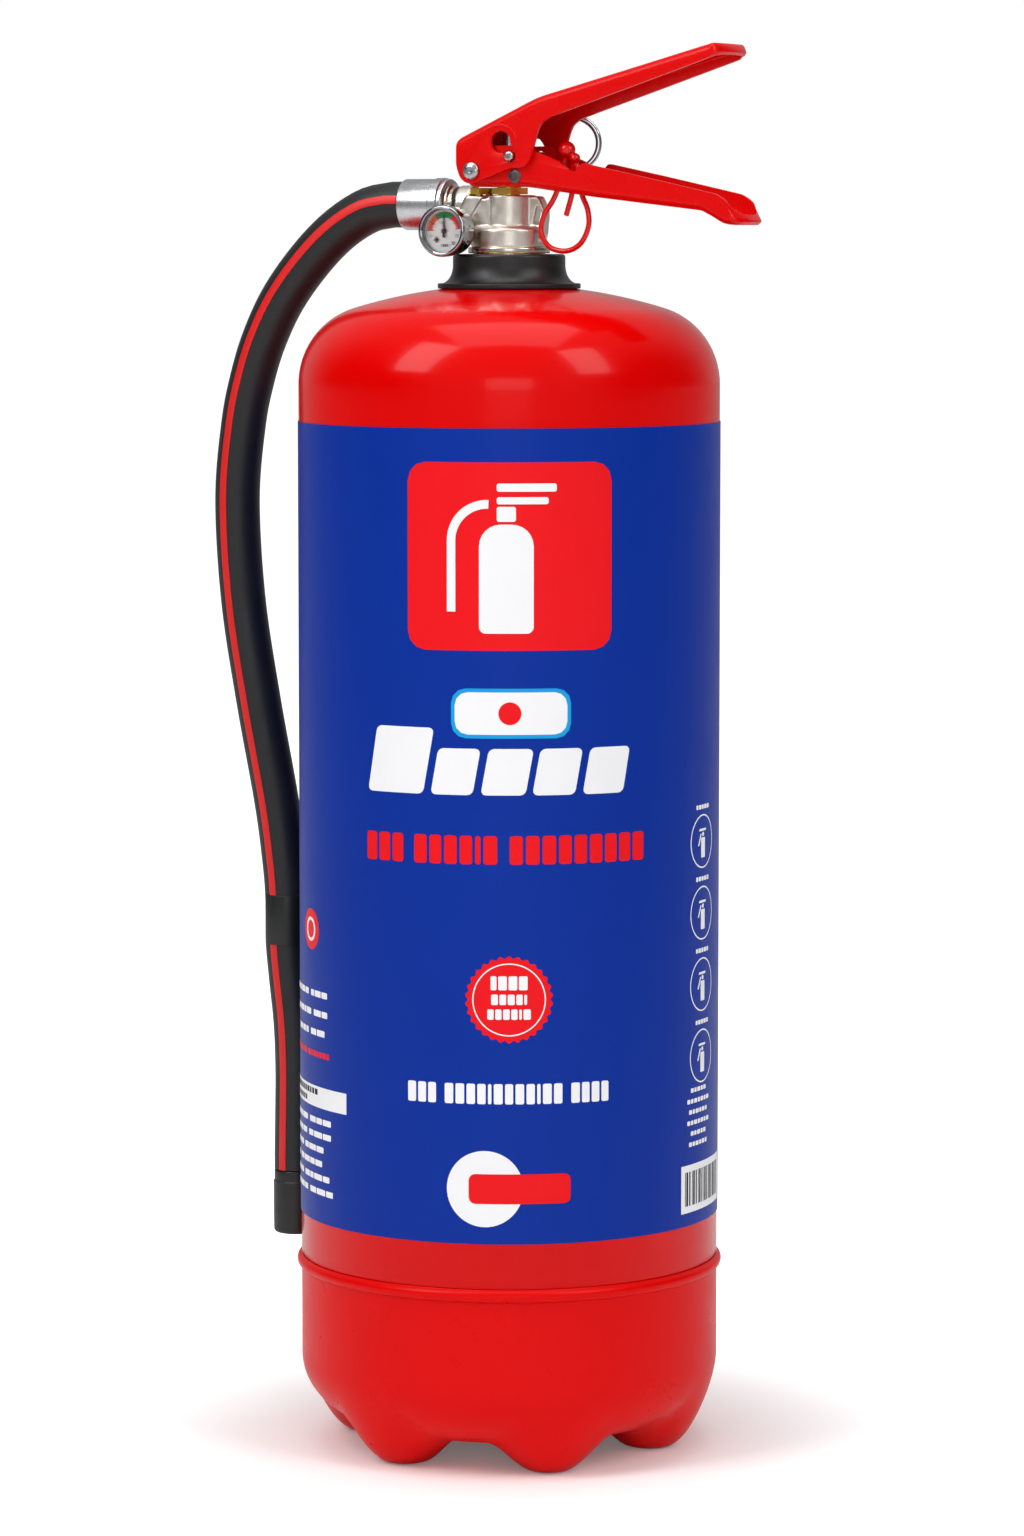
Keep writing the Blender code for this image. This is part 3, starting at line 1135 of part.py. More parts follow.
def build_outlet(parent):
    """The threaded adapter with its hose tail, the crimped hose end and the ferrule."""
    face = OUTLET_FACE_X
    start = FERRULE_START_X
    end = FERRULE_END_X
    tail = 0.0052
    adapter = [
        (0.0030, end + 0.0006),
        (tail - 0.0006, end + 0.0006),
        (tail, end + 0.0016),
        (tail, start - GAP),
        (0.0078, start - GAP),
        (0.0078, start + 0.0004),
        (0.0069, start + 0.0012),
        (0.0069, face - GAP - 0.0010),
        (0.0047, face - GAP - 0.0010),
        (0.0047, face + 0.0040),
        (0.0030, face + 0.0040),
    ]
    finish_mesh("outlet_adapter", along_x(lathe(adapter, 20)), NICKEL_BRASS, parent, smooth_angle=SMOOTH)
    washer = tube(0.0050, 0.0066, face - GAP - 0.0008, face - GAP, 24)
    finish_mesh("outlet_washer", along_x(washer), BLACK_RUBBER, parent, smooth_angle=SMOOTH)
    inner = tail + GAP
    crimped = FERRULE_RADIUS - 0.0011
    hose_end = tube(inner, crimped - 0.0001, end + 0.0006, start - 0.0012 - GAP, 24)
    finish_mesh("hose_end", along_x(hose_end), BLACK_RUBBER, parent, smooth_angle=SMOOTH)
    ferrule = [
        (crimped, end),
        (FERRULE_RADIUS - 0.0005, end),
        (FERRULE_RADIUS - 0.0002, end + 0.0004),
        (FERRULE_RADIUS - 0.0002, start - 0.0062),
        (FERRULE_RADIUS + 0.0002, start - 0.0057),
        (FERRULE_RADIUS + 0.0002, start - 0.0026),
        (FERRULE_RADIUS - 0.0002, start - 0.0021),
        (FERRULE_RADIUS - 0.0002, start - 0.0006),
        (FERRULE_RADIUS - 0.0008, start - GAP * 2.0),
        (tail + GAP, start - GAP * 2.0),
        (tail + GAP, start - 0.0012),
        (crimped, start - 0.0012),
    ]
    finish_mesh("hose_ferrule", along_x(lathe(ferrule, 24)), ALUMINIUM, parent, smooth_angle=SMOOTH)


def build_hose(parent):
    """The discharge hose and its nozzle."""
    path = [HOSE_ROUTE[0], *smooth_path(HOSE_ROUTE[1:-1], HOSE_POINTS - 2), HOSE_ROUTE[-1]]
    curve = bpy.data.curves.new("hose", "CURVE")
    curve.dimensions = "3D"
    curve.bevel_depth = HOSE_RADIUS
    curve.bevel_resolution = HOSE_BEVEL
    curve.use_fill_caps = True
    spline = curve.splines.new("POLY")
    spline.points.add(len(path) - 1)
    for point, (x, z) in zip(spline.points, path):
        point.co = (x, 0.0, z, 1.0)
    hose = bpy.data.objects.new("hose", curve)
    hose.data.materials.append(BLACK_RUBBER)
    hose.parent = parent
    bpy.context.scene.collection.objects.link(hose)
    top = NOZZLE_TOP_Z
    low = NOZZLE_TOP_Z - NOZZLE_LENGTH
    nozzle = [
        (0.0034, low),
        (NOZZLE_RADIUS - 0.0014, low),
        (NOZZLE_RADIUS - 0.0003, low + 0.0008),
        (NOZZLE_RADIUS, low + 0.0030),
        (NOZZLE_RADIUS, top - 0.0008),
        (NOZZLE_RADIUS - 0.0008, top),
        (0.0052, top),
        (0.0052, top - 0.0060),
        (0.0034, top - 0.0110),
    ]
    end_x = HOSE_ROUTE[-1][0]
    placed = turned(lathe(nozzle, 22), (0, 0, 1), (end_x, 0.0, 0.0))
    finish_mesh("nozzle", placed, BLACK_PLASTIC, parent, smooth_angle=SMOOTH)


def hose_x(z):
    """The hose's centre line at this height, on its run down beside the cylinder."""
    lower = [point for point in reversed(HOSE_ROUTE) if point[1] < 0.350]
    return float(np.interp(z, [point[1] for point in lower], [point[0] for point in lower]))


def clip_radius():
    """The outer radius of the clip's arms."""
    return HOSE_RADIUS + CLIP_CLEARANCE + CLIP_WALL


def build_clip(parent):
    """The hose clip: a saddle on the cylinder, a short neck, and two springy arms."""
    centre = hose_x(CLIP_Z)
    inner = HOSE_RADIUS + CLIP_CLEARANCE
    outer = clip_radius()
    first = math.pi + CLIP_MOUTH
    last = 3.0 * math.pi - CLIP_MOUTH
    arms = arc((centre, 0.0), outer, first, last, 18)
    arms += list(reversed(arc((centre, 0.0), inner, first, last, 18)))
    half = CLIP_HEIGHT / 2.0
    band = upright(arms, CLIP_Z - half, CLIP_Z + half)
    clip = finish_mesh("hose_clip", band, BLACK_PLASTIC, parent, smooth_angle=SMOOTH)
    seat = CYLINDER_RADIUS + LABEL_CLEARANCE + LABEL_THICKNESS + 0.0002
    spread = math.radians(10.0)
    saddle = arc((0.0, 0.0), seat, math.pi - spread, math.pi + spread, 10)
    saddle += list(reversed(arc((0.0, 0.0), seat + 0.0020, math.pi - spread, math.pi + spread, 10)))
    join(clip, "saddle", upright(saddle, CLIP_Z - half, CLIP_Z + half))
    neck_low = (centre + inner + 0.0007, -0.0042, CLIP_Z - half + 0.0006)
    neck_high = (-seat - 0.0007, 0.0042, CLIP_Z + half - 0.0006)
    join(clip, "neck", block(neck_low, neck_high))


def upright(outline, low, high):
    """Extrudes a closed (x, y) outline along Z."""
    mesh_data = bmesh.new()
    verts = [mesh_data.verts.new((x, y, low)) for x, y in outline]
    face = mesh_data.faces.new(verts)
    made = bmesh.ops.extrude_face_region(mesh_data, geom=[face])
    moved = [item for item in made["geom"] if isinstance(item, bmesh.types.BMVert)]
    bmesh.ops.translate(mesh_data, verts=moved, vec=(0.0, 0.0, high - low))
    return mesh_data


# ---------------------------------------------------------------- tamper seal

SEAL_Y = -0.0050
SEAL_WIRE_RADIUS = 0.00105
SEAL_BALL = (0.0266, SEAL_Y, 0.4950)
SEAL_NUB = (0.0299, SEAL_Y, 0.4918)
SEAL_LOOP = [
    (0.0296, SEAL_Y, 0.4915),
    (0.0318, SEAL_Y, 0.4850),
    (0.0328, SEAL_Y, 0.4783),
    (0.0352, SEAL_Y, 0.4725),
    (0.0355, SEAL_Y, 0.4663),
    (0.0322, SEAL_Y, 0.4600),
    (0.0262, SEAL_Y, 0.4570),
    (0.0192, SEAL_Y, 0.4588),
    (0.0158, SEAL_Y, 0.4645),
    (0.0172, SEAL_Y, 0.4708),
    (0.0208, SEAL_Y, 0.4762),
    (0.0232, SEAL_Y, 0.4815),
    (0.0250, SEAL_Y, 0.4880),
    (0.0266, SEAL_Y, 0.4950),
]
SEAL_TAIL = [
    (0.0299, SEAL_Y + 0.0002, 0.4918),
    (0.0289, SEAL_Y + 0.0004, 0.4860),
    (0.0285, SEAL_Y + 0.0004, 0.4790),
    (0.0272, SEAL_Y, 0.4735),
    (0.0262, SEAL_Y, 0.4704),
]


def build_tamper_seal(parent):
    """The plastic seal: a lock bead with a loop and a tail that hang through the handle's slot."""
    strand = sweep(smooth_path(SEAL_LOOP, 28), SEAL_WIRE_RADIUS, 6)
    seal = finish_mesh("tamper_seal", strand, RED_PLASTIC, parent, smooth_angle=SMOOTH)
    join(seal, "tail", sweep(smooth_path(SEAL_TAIL, 8), SEAL_WIRE_RADIUS * 1.1, 6))
    for name, centre, radius in (("ball", SEAL_BALL, 0.0033), ("nub", SEAL_NUB, 0.0020)):
        bead = bmesh.new()
        bmesh.ops.create_uvsphere(
            bead, u_segments=12, v_segments=7, radius=radius, matrix=Matrix.Translation(centre)
        )
        join(seal, name, bead)


# ---------------------------------------------------------------- the whole object


def main():
    clip_tip = hose_x(CLIP_Z) + clip_radius() * math.cos(math.pi + CLIP_MOUTH)
    frame = bpy.data.objects.new("cylinder_axis", None)
    frame.location = (-(HANDLE_TIP_X + clip_tip) / 2.0, 0.0, 0.0)
    bpy.context.scene.collection.objects.link(frame)
    build_cylinder_shell(frame)
    build_base_cup(frame)
    build_label(frame)
    build_neck(frame)
    build_valve(frame)
    build_gland(frame)
    build_stem(frame, frame)
    build_handle(frame)
    build_lever(frame)
    build_pins(frame, frame, frame)
    build_gauge(frame, frame)
    build_outlet(frame)
    build_hose(frame)
    build_clip(frame)
    build_tamper_seal(frame)


main()
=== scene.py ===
"""Looks of a portable fire extinguisher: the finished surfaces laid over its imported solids.

Units are metres and +Z is up. The squeeze lever points along +X, the hose leaves along -X and
the gauge faces -Y.
"""

import math

import bpy
import numpy as np
from bpy.props import FloatProperty, FloatVectorProperty, PointerProperty
from mathutils import Matrix, Vector


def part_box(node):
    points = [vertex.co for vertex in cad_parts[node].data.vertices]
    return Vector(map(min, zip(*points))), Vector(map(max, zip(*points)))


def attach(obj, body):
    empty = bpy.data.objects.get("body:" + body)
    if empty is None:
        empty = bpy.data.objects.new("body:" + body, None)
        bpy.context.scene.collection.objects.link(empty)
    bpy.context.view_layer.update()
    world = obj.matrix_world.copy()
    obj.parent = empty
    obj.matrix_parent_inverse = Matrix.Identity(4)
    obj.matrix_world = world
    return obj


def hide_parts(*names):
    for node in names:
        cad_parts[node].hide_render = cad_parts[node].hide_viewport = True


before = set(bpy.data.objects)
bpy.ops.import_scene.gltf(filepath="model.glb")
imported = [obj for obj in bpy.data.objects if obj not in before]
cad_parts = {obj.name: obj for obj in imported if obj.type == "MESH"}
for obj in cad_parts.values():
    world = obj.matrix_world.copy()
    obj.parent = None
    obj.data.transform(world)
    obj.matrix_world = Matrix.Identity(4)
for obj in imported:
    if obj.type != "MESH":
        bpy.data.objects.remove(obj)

bl_info = {
    "name": "Fire Extinguisher",
    "version": (1, 0, 0),
    "blender": (4, 5, 0),
    "location": "3D View > Sidebar > Extinguisher",
    "description": "Builds the finished surfaces of a portable fire extinguisher",
    "category": "Add Mesh",
}

TURN = 2.0 * math.pi
MM = 0.001
MERGE = 1e-6
SMOOTH = math.radians(35.0)

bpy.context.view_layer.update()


def size_of(node):
    """(middle, lowest corner, highest corner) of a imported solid."""
    low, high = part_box(node)
    return (low + high) / 2.0, low, high


VESSEL_MIDDLE, VESSEL_LOW, VESSEL_HIGH = size_of("cylinder_shell")
AXIS_X = VESSEL_MIDDLE.x
AXIS = Vector((AXIS_X, 0.0, 0.0))
CYLINDER_RADIUS = (VESSEL_HIGH.x - VESSEL_LOW.x) / 2.0


# ---------------------------------------------------------------- colours and nodes


def linear(code):
    """An sRGB hex colour as linear red, green and blue."""
    values = [int(code[place : place + 2], 16) / 255.0 for place in (0, 2, 4)]
    return tuple(v / 12.92 if v <= 0.04045 else ((v + 0.055) / 1.055) ** 2.4 for v in values)


def shade(colour, factor):
    """A colour made darker or lighter."""
    return tuple(min(1.0, part * factor) for part in colour)


def add(tree, kind, inputs=None, **settings):
    """Adds one node with its settings, and its inputs as links or values."""
    node = tree.nodes.new(kind)
    for name, value in settings.items():
        setattr(node, name, value)
    for name, value in (inputs or {}).items():
        if isinstance(value, bpy.types.NodeSocket):
            tree.links.new(value, node.inputs[name])
        else:
            node.inputs[name].default_value = value
    return node


def start(name, colour, roughness, metallic=0.0):
    """A material with a Principled shader. Gives (material, tree, shader, object place)."""
    made = bpy.data.materials.new(name)
    made.use_nodes = True
    tree = made.node_tree
    shader = tree.nodes["Principled BSDF"]
    shader.inputs["Base Color"].default_value = (*colour, 1.0)
    shader.inputs["Roughness"].default_value = roughness
    shader.inputs["Metallic"].default_value = metallic
    place = add(tree, "ShaderNodeTexCoord").outputs["Object"]
    return made, tree, shader, place


def grain(tree, place, spacing, detail=3.0, stretch=(1.0, 1.0, 1.0)):
    """A noise whose grains are this far apart in metres."""
    moved = add(tree, "ShaderNodeMapping", {"Vector": place, "Scale": stretch})
    noise = add(
        tree,
        "ShaderNodeTexNoise",
        {"Vector": moved.outputs["Vector"], "Scale": 1.0 / spacing, "Detail": detail},
    )
    return noise.outputs["Fac"]


def gloss(tree, shader, pattern, low, high):
    """Lets the roughness run from low to high over a pattern's middle range."""
    mapped = add(
        tree,
        "ShaderNodeMapRange",
        {"Value": pattern, "From Min": 0.3, "From Max": 0.7, "To Min": low, "To Max": high},
    )
    tree.links.new(mapped.outputs["Result"], shader.inputs["Roughness"])


def emboss(tree, shader, height, depth, after=None):
    """Lets a pattern stand out of the surface by the depth in metres."""
    inputs = {"Height": height, "Distance": depth, "Strength": 1.0}
    if after is not None:
        inputs["Normal"] = after
    bump = add(tree, "ShaderNodeBump", inputs)
    tree.links.new(bump.outputs["Normal"], shader.inputs["Normal"])
    return bump.outputs["Normal"]


def tint(tree, shader, pattern, dark, light):
    """Blends the base colour between two tones by a pattern."""
    mixed = add(tree, "ShaderNodeMix", data_type="RGBA")
    tree.links.new(pattern, mixed.inputs[0])
    mixed.inputs[6].default_value = (*dark, 1.0)
    mixed.inputs[7].default_value = (*light, 1.0)
    tree.links.new(mixed.outputs[2], shader.inputs["Base Color"])


# ---------------------------------------------------------------- materials


def stove_enamel(colours):
    """Sprayed and baked enamel on steel: deep gloss with a faint orange peel."""
    made, tree, shader, place = start("stove_enamel", colours.enamel, 0.20)
    shader.inputs["Specular IOR Level"].default_value = 0.12
    shader.inputs["Coat Weight"].default_value = 0.13
    shader.inputs["Coat Roughness"].default_value = 0.05
    tint(tree, shader, grain(tree, place, 60 * MM), shade(colours.enamel, 0.93), colours.enamel)
    gloss(tree, shader, grain(tree, place, 30 * MM), 0.18, 0.22)
    # The peel is 1.6 mm across and 4 microns deep.
    emboss(tree, shader, grain(tree, place, 1.6 * MM, 1.0), 0.004 * MM)
    return made


def powder_coat(colours):
    """Powder coat on pressed sheet: glossy, with a finer texture than sprayed paint."""
    made, tree, shader, place = start("powder_coat", colours.powder_coat, 0.27)
    shader.inputs["Specular IOR Level"].default_value = 0.18
    gloss(tree, shader, grain(tree, place, 9 * MM), 0.24, 0.31)
    dark = shade(colours.powder_coat, 0.92)
    tint(tree, shader, grain(tree, place, 25 * MM), dark, colours.powder_coat)
    # Grains of 0.7 mm, drawn coarser than the real 0.3 mm so that they show.
    emboss(tree, shader, grain(tree, place, 0.7 * MM, 2.0), 0.003 * MM)
    return made


def moulded_polyethylene(colours):
    """Injection-moulded red polyethylene: satin, with soft flow marks."""
    made, tree, shader, place = start("moulded_polyethylene", colours.base_plastic, 0.30)
    shader.inputs["Specular IOR Level"].default_value = 0.12
    gloss(tree, shader, grain(tree, place, 14 * MM), 0.27, 0.35)
    flow = grain(tree, place, 40 * MM, 2.0, (1.0, 1.0, 0.35))
    tint(tree, shader, flow, shade(colours.base_plastic, 0.94), colours.base_plastic)
    emboss(tree, shader, grain(tree, place, 2.5 * MM, 1.0), 0.003 * MM)
    return made


def printed_film(name, colour, roughness=0.36):
    """Screen ink on a vinyl film: satin, with the film's faint stipple."""
    made, tree, shader, place = start(name, colour, roughness)
    shader.inputs["Specular IOR Level"].default_value = 0.14
    tint(tree, shader, grain(tree, place, 35 * MM), shade(colour, 0.94), colour)
    gloss(tree, shader, grain(tree, place, 20 * MM), roughness * 0.92, roughness * 1.08)
    # A stipple of 1.1 mm, drawn coarser than the real 0.4 mm so that it shows.
    emboss(tree, shader, grain(tree, place, 1.1 * MM, 2.0), 0.006 * MM)
    return made


def moulded_nylon(colours):
    """Black glass-filled nylon from a spark-eroded mould: satin, almost even."""
    made, tree, shader, place = start("moulded_nylon", colours.black, 0.40)
    gloss(tree, shader, grain(tree, place, 6 * MM), 0.34, 0.46)
    tones = (shade(colours.black, 0.75), shade(colours.black, 1.2))
    tint(tree, shader, grain(tree, place, 18 * MM), *tones)
    emboss(tree, shader, grain(tree, place, 0.5 * MM, 2.0), 0.010 * MM)
    return made


def hose_rubber(colours):
    """Cloth-wrapped and cured rubber: matt, with the wrap's slanting ribs 1.3 mm apart."""
    made, tree, shader, place = start("hose_rubber", colours.rubber, 0.46)
    slant = add(
        tree,
        "ShaderNodeMapping",
        {"Vector": place, "Rotation": (0.0, math.radians(24.0), 0.0)},
    )
    # A wave repeats every twentieth of its scale's inverse, times a whole turn.
    ribs = add(
        tree,
        "ShaderNodeTexWave",
        {"Vector": slant.outputs["Vector"], "Scale": TURN / 20.0 / (1.3 * MM), "Distortion": 1.5},
        bands_direction="Z",
    )
    tones = (shade(colours.rubber, 0.7), shade(colours.rubber, 1.3))
    tint(tree, shader, grain(tree, place, 30 * MM), *tones)
    gloss(tree, shader, grain(tree, place, 12 * MM), 0.42, 0.52)
    first = emboss(tree, shader, ribs.outputs["Fac"], 0.012 * MM)
    emboss(tree, shader, grain(tree, place, 0.8 * MM), 0.012 * MM, first)
    return made


def stripe_rubber(colours):
    """The red rubber line that is cured into the hose's side."""
    made, tree, shader, place = start("stripe_rubber", colours.stripe, 0.42)
    tint(tree, shader, grain(tree, place, 12 * MM), shade(colours.stripe, 0.85), colours.stripe)
    emboss(tree, shader, grain(tree, place, 0.8 * MM), 0.012 * MM)
    return made


def forged_nickel_brass():
    """Hot-forged brass, tumbled and nickel-washed: a warm silver with a sandy skin."""
    made, tree, shader, place = start("forged_nickel_brass", linear("E4DCD0"), 0.34, 1.0)
    gloss(tree, shader, grain(tree, place, 3 * MM), 0.28, 0.42)
    tint(tree, shader, grain(tree, place, 7 * MM), linear("CDC4B6"), linear("F4EFE7"))
    # Sand grains of 0.45 mm, as tumbling leaves them.
    emboss(tree, shader, grain(tree, place, 0.45 * MM, 2.0), 0.030 * MM)
    return made


def turned_metal(name, dark, light, roughness, along, pitch=0.35 * MM):
    """Metal from a lathe: bright, with fine tool rings along its axis."""
    made, tree, shader, place = start(name, light, roughness, 1.0)
    rings = add(
        tree,
        "ShaderNodeTexWave",
        {"Vector": place, "Scale": TURN / 20.0 / pitch, "Distortion": 0.6, "Detail": 1.0},
        bands_direction=along,
    )
    gloss(tree, shader, grain(tree, place, 2 * MM), roughness * 0.92, roughness * 1.1)
    tint(tree, shader, grain(tree, place, 5 * MM), dark, light)
    emboss(tree, shader, rings.outputs["Fac"], 0.0012 * MM)
    return made


def plated(name, dark, light, roughness):
    """Plated steel: bright, with a faint cloudiness where the plating is thinner."""
    made, tree, shader, place = start(name, light, roughness, 1.0)
    gloss(tree, shader, grain(tree, place, 2.5 * MM), roughness * 0.7, roughness * 1.4)
    tint(tree, shader, grain(tree, place, 4 * MM), dark, light)
    emboss(tree, shader, grain(tree, place, 1.2 * MM, 1.0), 0.003 * MM)
    return made


def clear_polycarbonate():
    """A moulded clear lens: colourless, with a hard gloss."""
    made, tree, shader, place = start("clear_polycarbonate", linear("FDFEFF"), 0.03)
    shader.inputs["Transmission Weight"].default_value = 1.0
    shader.inputs["IOR"].default_value = 1.49
    shader.inputs["Alpha"].default_value = 0.35
    emboss(tree, shader, grain(tree, place, 6 * MM, 1.0), 0.002 * MM)
    return made


def small_plastic(name, colour, roughness, spacing=8 * MM):
    """A small moulded or printed surface: even, with a slight mottle in tone and gloss."""
    made, tree, shader, place = start(name, colour, roughness)
    gloss(tree, shader, grain(tree, place, spacing), roughness * 0.88, roughness * 1.12)
    tint(tree, shader, grain(tree, place, spacing * 2.0), shade(colour, 0.9), colour)
    emboss(tree, shader, grain(tree, place, 0.6 * MM, 1.0), 0.004 * MM)
    return made


MATERIALS = {}


def make_materials(colours):
    """Every finish of the extinguisher, by a short name."""
    black = linear("16171A")
    MATERIALS.update(
        enamel=stove_enamel(colours),
        powder=powder_coat(colours),
        base=moulded_polyethylene(colours),
        film=printed_film("blue_vinyl_film", colours.label),
        white_ink=printed_film("white_screen_ink", colours.print_white, 0.42),
        red_ink=printed_film("red_screen_ink", colours.print_red, 0.38),
        cyan_ink=printed_film("cyan_screen_ink", linear("18A4E8"), 0.38),
        black_ink=printed_film("black_screen_ink", black, 0.42),
        nylon=moulded_nylon(colours),
        rubber=hose_rubber(colours),
        stripe=stripe_rubber(colours),
        forging=forged_nickel_brass(),
        nickel=turned_metal("turned_nickel", linear("B9AE9C"), linear("E2DACC"), 0.24, "X"),
        flange=turned_metal("machined_flange", linear("B9AE9C"), linear("E9E2D6"), 0.22, "Z"),
        brass=turned_metal("turned_brass", linear("DCA83E"), linear("F6D468"), 0.24, "Z"),
        aluminium=turned_metal("turned_aluminium", linear("B9BABD"), linear("DCDDDF"), 0.28, "X"),
        zinc=plated("zinc_plated_steel", linear("9DA0A4"), linear("D8DADD"), 0.24),
        chrome=plated("chrome_plate", linear("8A8C90"), linear("BEC0C4"), 0.07),
        burnished=plated("burnished_steel", linear("3B2C2A"), linear("8C8583"), 0.36),
        lens=clear_polycarbonate(),
        dial=small_plastic("printed_dial_card", linear("F1F1EF"), 0.45),
        dial_red=small_plastic("dial_red_ink", linear("E4202C"), 0.45),
        dial_orange=small_plastic("dial_orange_ink", linear("EE6A45"), 0.45),
        dial_green=small_plastic("dial_green_ink", linear("169A4C"), 0.45),
        dial_black=small_plastic("dial_black_ink", black, 0.45),
        seal=small_plastic("moulded_red_nylon", colours.seal, 0.20, 5 * MM),
        natural=small_plastic("natural_polythene", linear("E6E4D8"), 0.42),
        soft_rubber=small_plastic("nitrile_rubber", linear("1B1B1D"), 0.60),
    )


# ---------------------------------------------------------------- modelling tools


def select_none():
    bpy.ops.object.select_all(action="DESELECT")


def select_whole():
    """In edit mode: selects all of the mesh."""
    bpy.ops.mesh.select_all(action="SELECT")


def only(piece):
    """Selects this piece alone and makes it the active one."""
    select_none()
    piece.select_set(True)
    bpy.context.view_layer.objects.active = piece


def edit(piece):
    """Opens a piece in edit mode with all of it selected."""
    only(piece)
    bpy.ops.object.mode_set(mode="EDIT")
    select_whole()


def leave_edit():
    bpy.ops.object.mode_set(mode="OBJECT")


def move(piece, matrix):
    """Moves a piece's points, so that its object stays at the origin."""
    piece.data.transform(matrix)
    return piece


def to_axis(piece):
    """Moves a piece that was shaped about the cylinder's axis to where the axis is."""
    return move(piece, Matrix.Translation(AXIS))


def arc(centre, radius, first, last, steps):
    """Points on an arc, from one angle to another."""
    angles = [first + (last - first) * step / steps for step in range(steps + 1)]
    return [(centre[0] + radius * math.cos(a), centre[1] + radius * math.sin(a)) for a in angles]


def rounded(corners, steps=6):
    """A closed outline whose corners are arcs. Each corner is (x, y) or (x, y, radius)."""
    points = []
    count = len(corners)
    for index, corner in enumerate(corners):
        here = Vector(corner[:2])
        radius = corner[2] if len(corner) > 2 else 0.0
        if radius == 0.0:
            points.append(tuple(here))
            continue
        before = (Vector(corners[index - 1][:2]) - here).normalized()
        after = (Vector(corners[(index + 1) % count][:2]) - here).normalized()
        half = before.angle(after) / 2.0
        reach = radius / math.tan(half)
        centre = here + (before + after).normalized() * (radius / math.sin(half))
        first = here + before * reach - centre
        last = here + after * reach - centre
        begin = math.atan2(first.y, first.x)
        sweep = (math.atan2(last.y, last.x) - begin + math.pi) % TURN - math.pi
        points += arc(centre, radius, begin, begin + sweep, steps)
    return points


def wire(name, points, closed=False):
    """A line of edges, drawn point by point from one corner of a plane."""
    select_none()
    bpy.ops.mesh.primitive_plane_add(size=1.0)
    line = bpy.context.object
    line.name = name
    bpy.ops.object.mode_set(mode="EDIT")
    select_whole()
    bpy.ops.mesh.merge(type="CENTER")
    bpy.ops.transform.translate(value=Vector(points[0]))
    path = list(points) + ([points[0]] if closed else [])
    for before, after in zip(path, path[1:]):
        step = Vector(after) - Vector(before)
        bpy.ops.mesh.extrude_vertices_move(TRANSFORM_OT_translate={"value": step})
    select_whole()
    bpy.ops.mesh.remove_doubles(threshold=MERGE)
    leave_edit()
    return line


def tidy_mesh():
    """In edit mode: merges doubles, closes open rims and turns every face outwards."""
    select_whole()
    bpy.ops.mesh.remove_doubles(threshold=MERGE)
    select_whole()
    bpy.ops.mesh.fill_holes(sides=0)
    select_whole()
    bpy.ops.mesh.normals_make_consistent(inside=False)


UP = (0.0, 0.0, 1.0)
SIDEWAYS = (1.0, 0.0, 0.0)
BACKWARD = (0.0, 1.0, 0.0)
ORIGIN = (0.0, 0.0, 0.0)


def turned(name, profile, steps=128, closed=True, place=ORIGIN, along=UP):
    """Spins a (radius, height) profile about an axis. An open profile has both ends on it."""
    line = wire(name, [(radius, 0.0, height) for radius, height in profile], closed)
    edit(line)
    bpy.ops.mesh.spin(steps=steps, angle=TURN, center=ORIGIN, axis=UP)
    tidy_mesh()
    leave_edit()
    turn = Vector(UP).rotation_difference(Vector(along)).to_matrix().to_4x4()
    return move(line, Matrix.Translation(place) @ turn)


def rod(radius, low, high, place=ORIGIN, along=UP, steps=48):
    """A plain round bar along an axis."""
    profile = [(0.0, low), (radius, low), (radius, high), (0.0, high)]
    return turned("rod", profile, steps, closed=False, place=place, along=along)


def extruded(name, outline, depth):
    """Fills a closed outline of 3D points and extrudes it by a vector."""
    line = wire(name, outline, closed=True)
    edit(line)
    bpy.ops.mesh.edge_face_add()
    select_whole()
    bpy.ops.mesh.extrude_region_move(TRANSFORM_OT_translate={"value": Vector(depth)})
    select_whole()
    bpy.ops.mesh.normals_make_consistent(inside=False)
    leave_edit()
    return line


def side_block(name, outline, low, high):
    """Extrudes a closed (x, z) outline along Y."""
    return extruded(name, [(x, low, z) for x, z in outline], (0.0, high - low, 0.0))


def upright_block(name, outline, low, high):
    """Extrudes a closed (x, y) outline along Z."""
    return extruded(name, [(x, y, low) for x, y in outline], (0.0, 0.0, high - low))


def shaped_grid(name, columns, rows, place, close=True):
    """A grid whose points are moved to place(u, v), with u and v from 0 to 1."""
    select_none()
    bpy.ops.mesh.primitive_grid_add(x_subdivisions=columns, y_subdivisions=rows, size=1.0)
    grid = bpy.context.object
    grid.name = name
    for vertex in grid.data.vertices:
        vertex.co = place(vertex.co.x + 0.5, vertex.co.y + 0.5)
    if close:
        edit(grid)
        tidy_mesh()
        leave_edit()
    return grid


def apply(piece, kind, **settings):
    """Adds a modifier with its settings and applies it."""
    only(piece)
    modifier = piece.modifiers.new(kind, kind)
    for name, value in settings.items():
        setattr(modifier, name, value)
    bpy.ops.object.modifier_apply(modifier=modifier.name)
    return piece


def combine(piece, other, operation="DIFFERENCE", solver="EXACT"):
    """Cuts the other piece from this one, or joins it on, and removes the other."""
    apply(piece, "BOOLEAN", object=other, operation=operation, solver=solver)
    bpy.data.objects.remove(other)
    return piece


def bevelled(piece, width, segments=2):
    """Rounds a piece's sharp edges."""
    limit = {"limit_method": "ANGLE", "angle_limit": math.radians(40.0)}
    return apply(piece, "BEVEL", width=width, segments=segments, **limit)


def smooth(piece, angle=SMOOTH):
    only(piece)
    bpy.ops.object.shade_smooth_by_angle(angle=angle)
    return piece


def blended(piece, cell, rounds):
    """Remeshes a piece finely and relaxes it, so that its parts run into each other."""
    apply(piece, "REMESH", mode="VOXEL", voxel_size=cell, adaptivity=0.0)
    apply(piece, "SMOOTH", factor=0.5, iterations=rounds)
    return smooth(piece, math.radians(80.0))


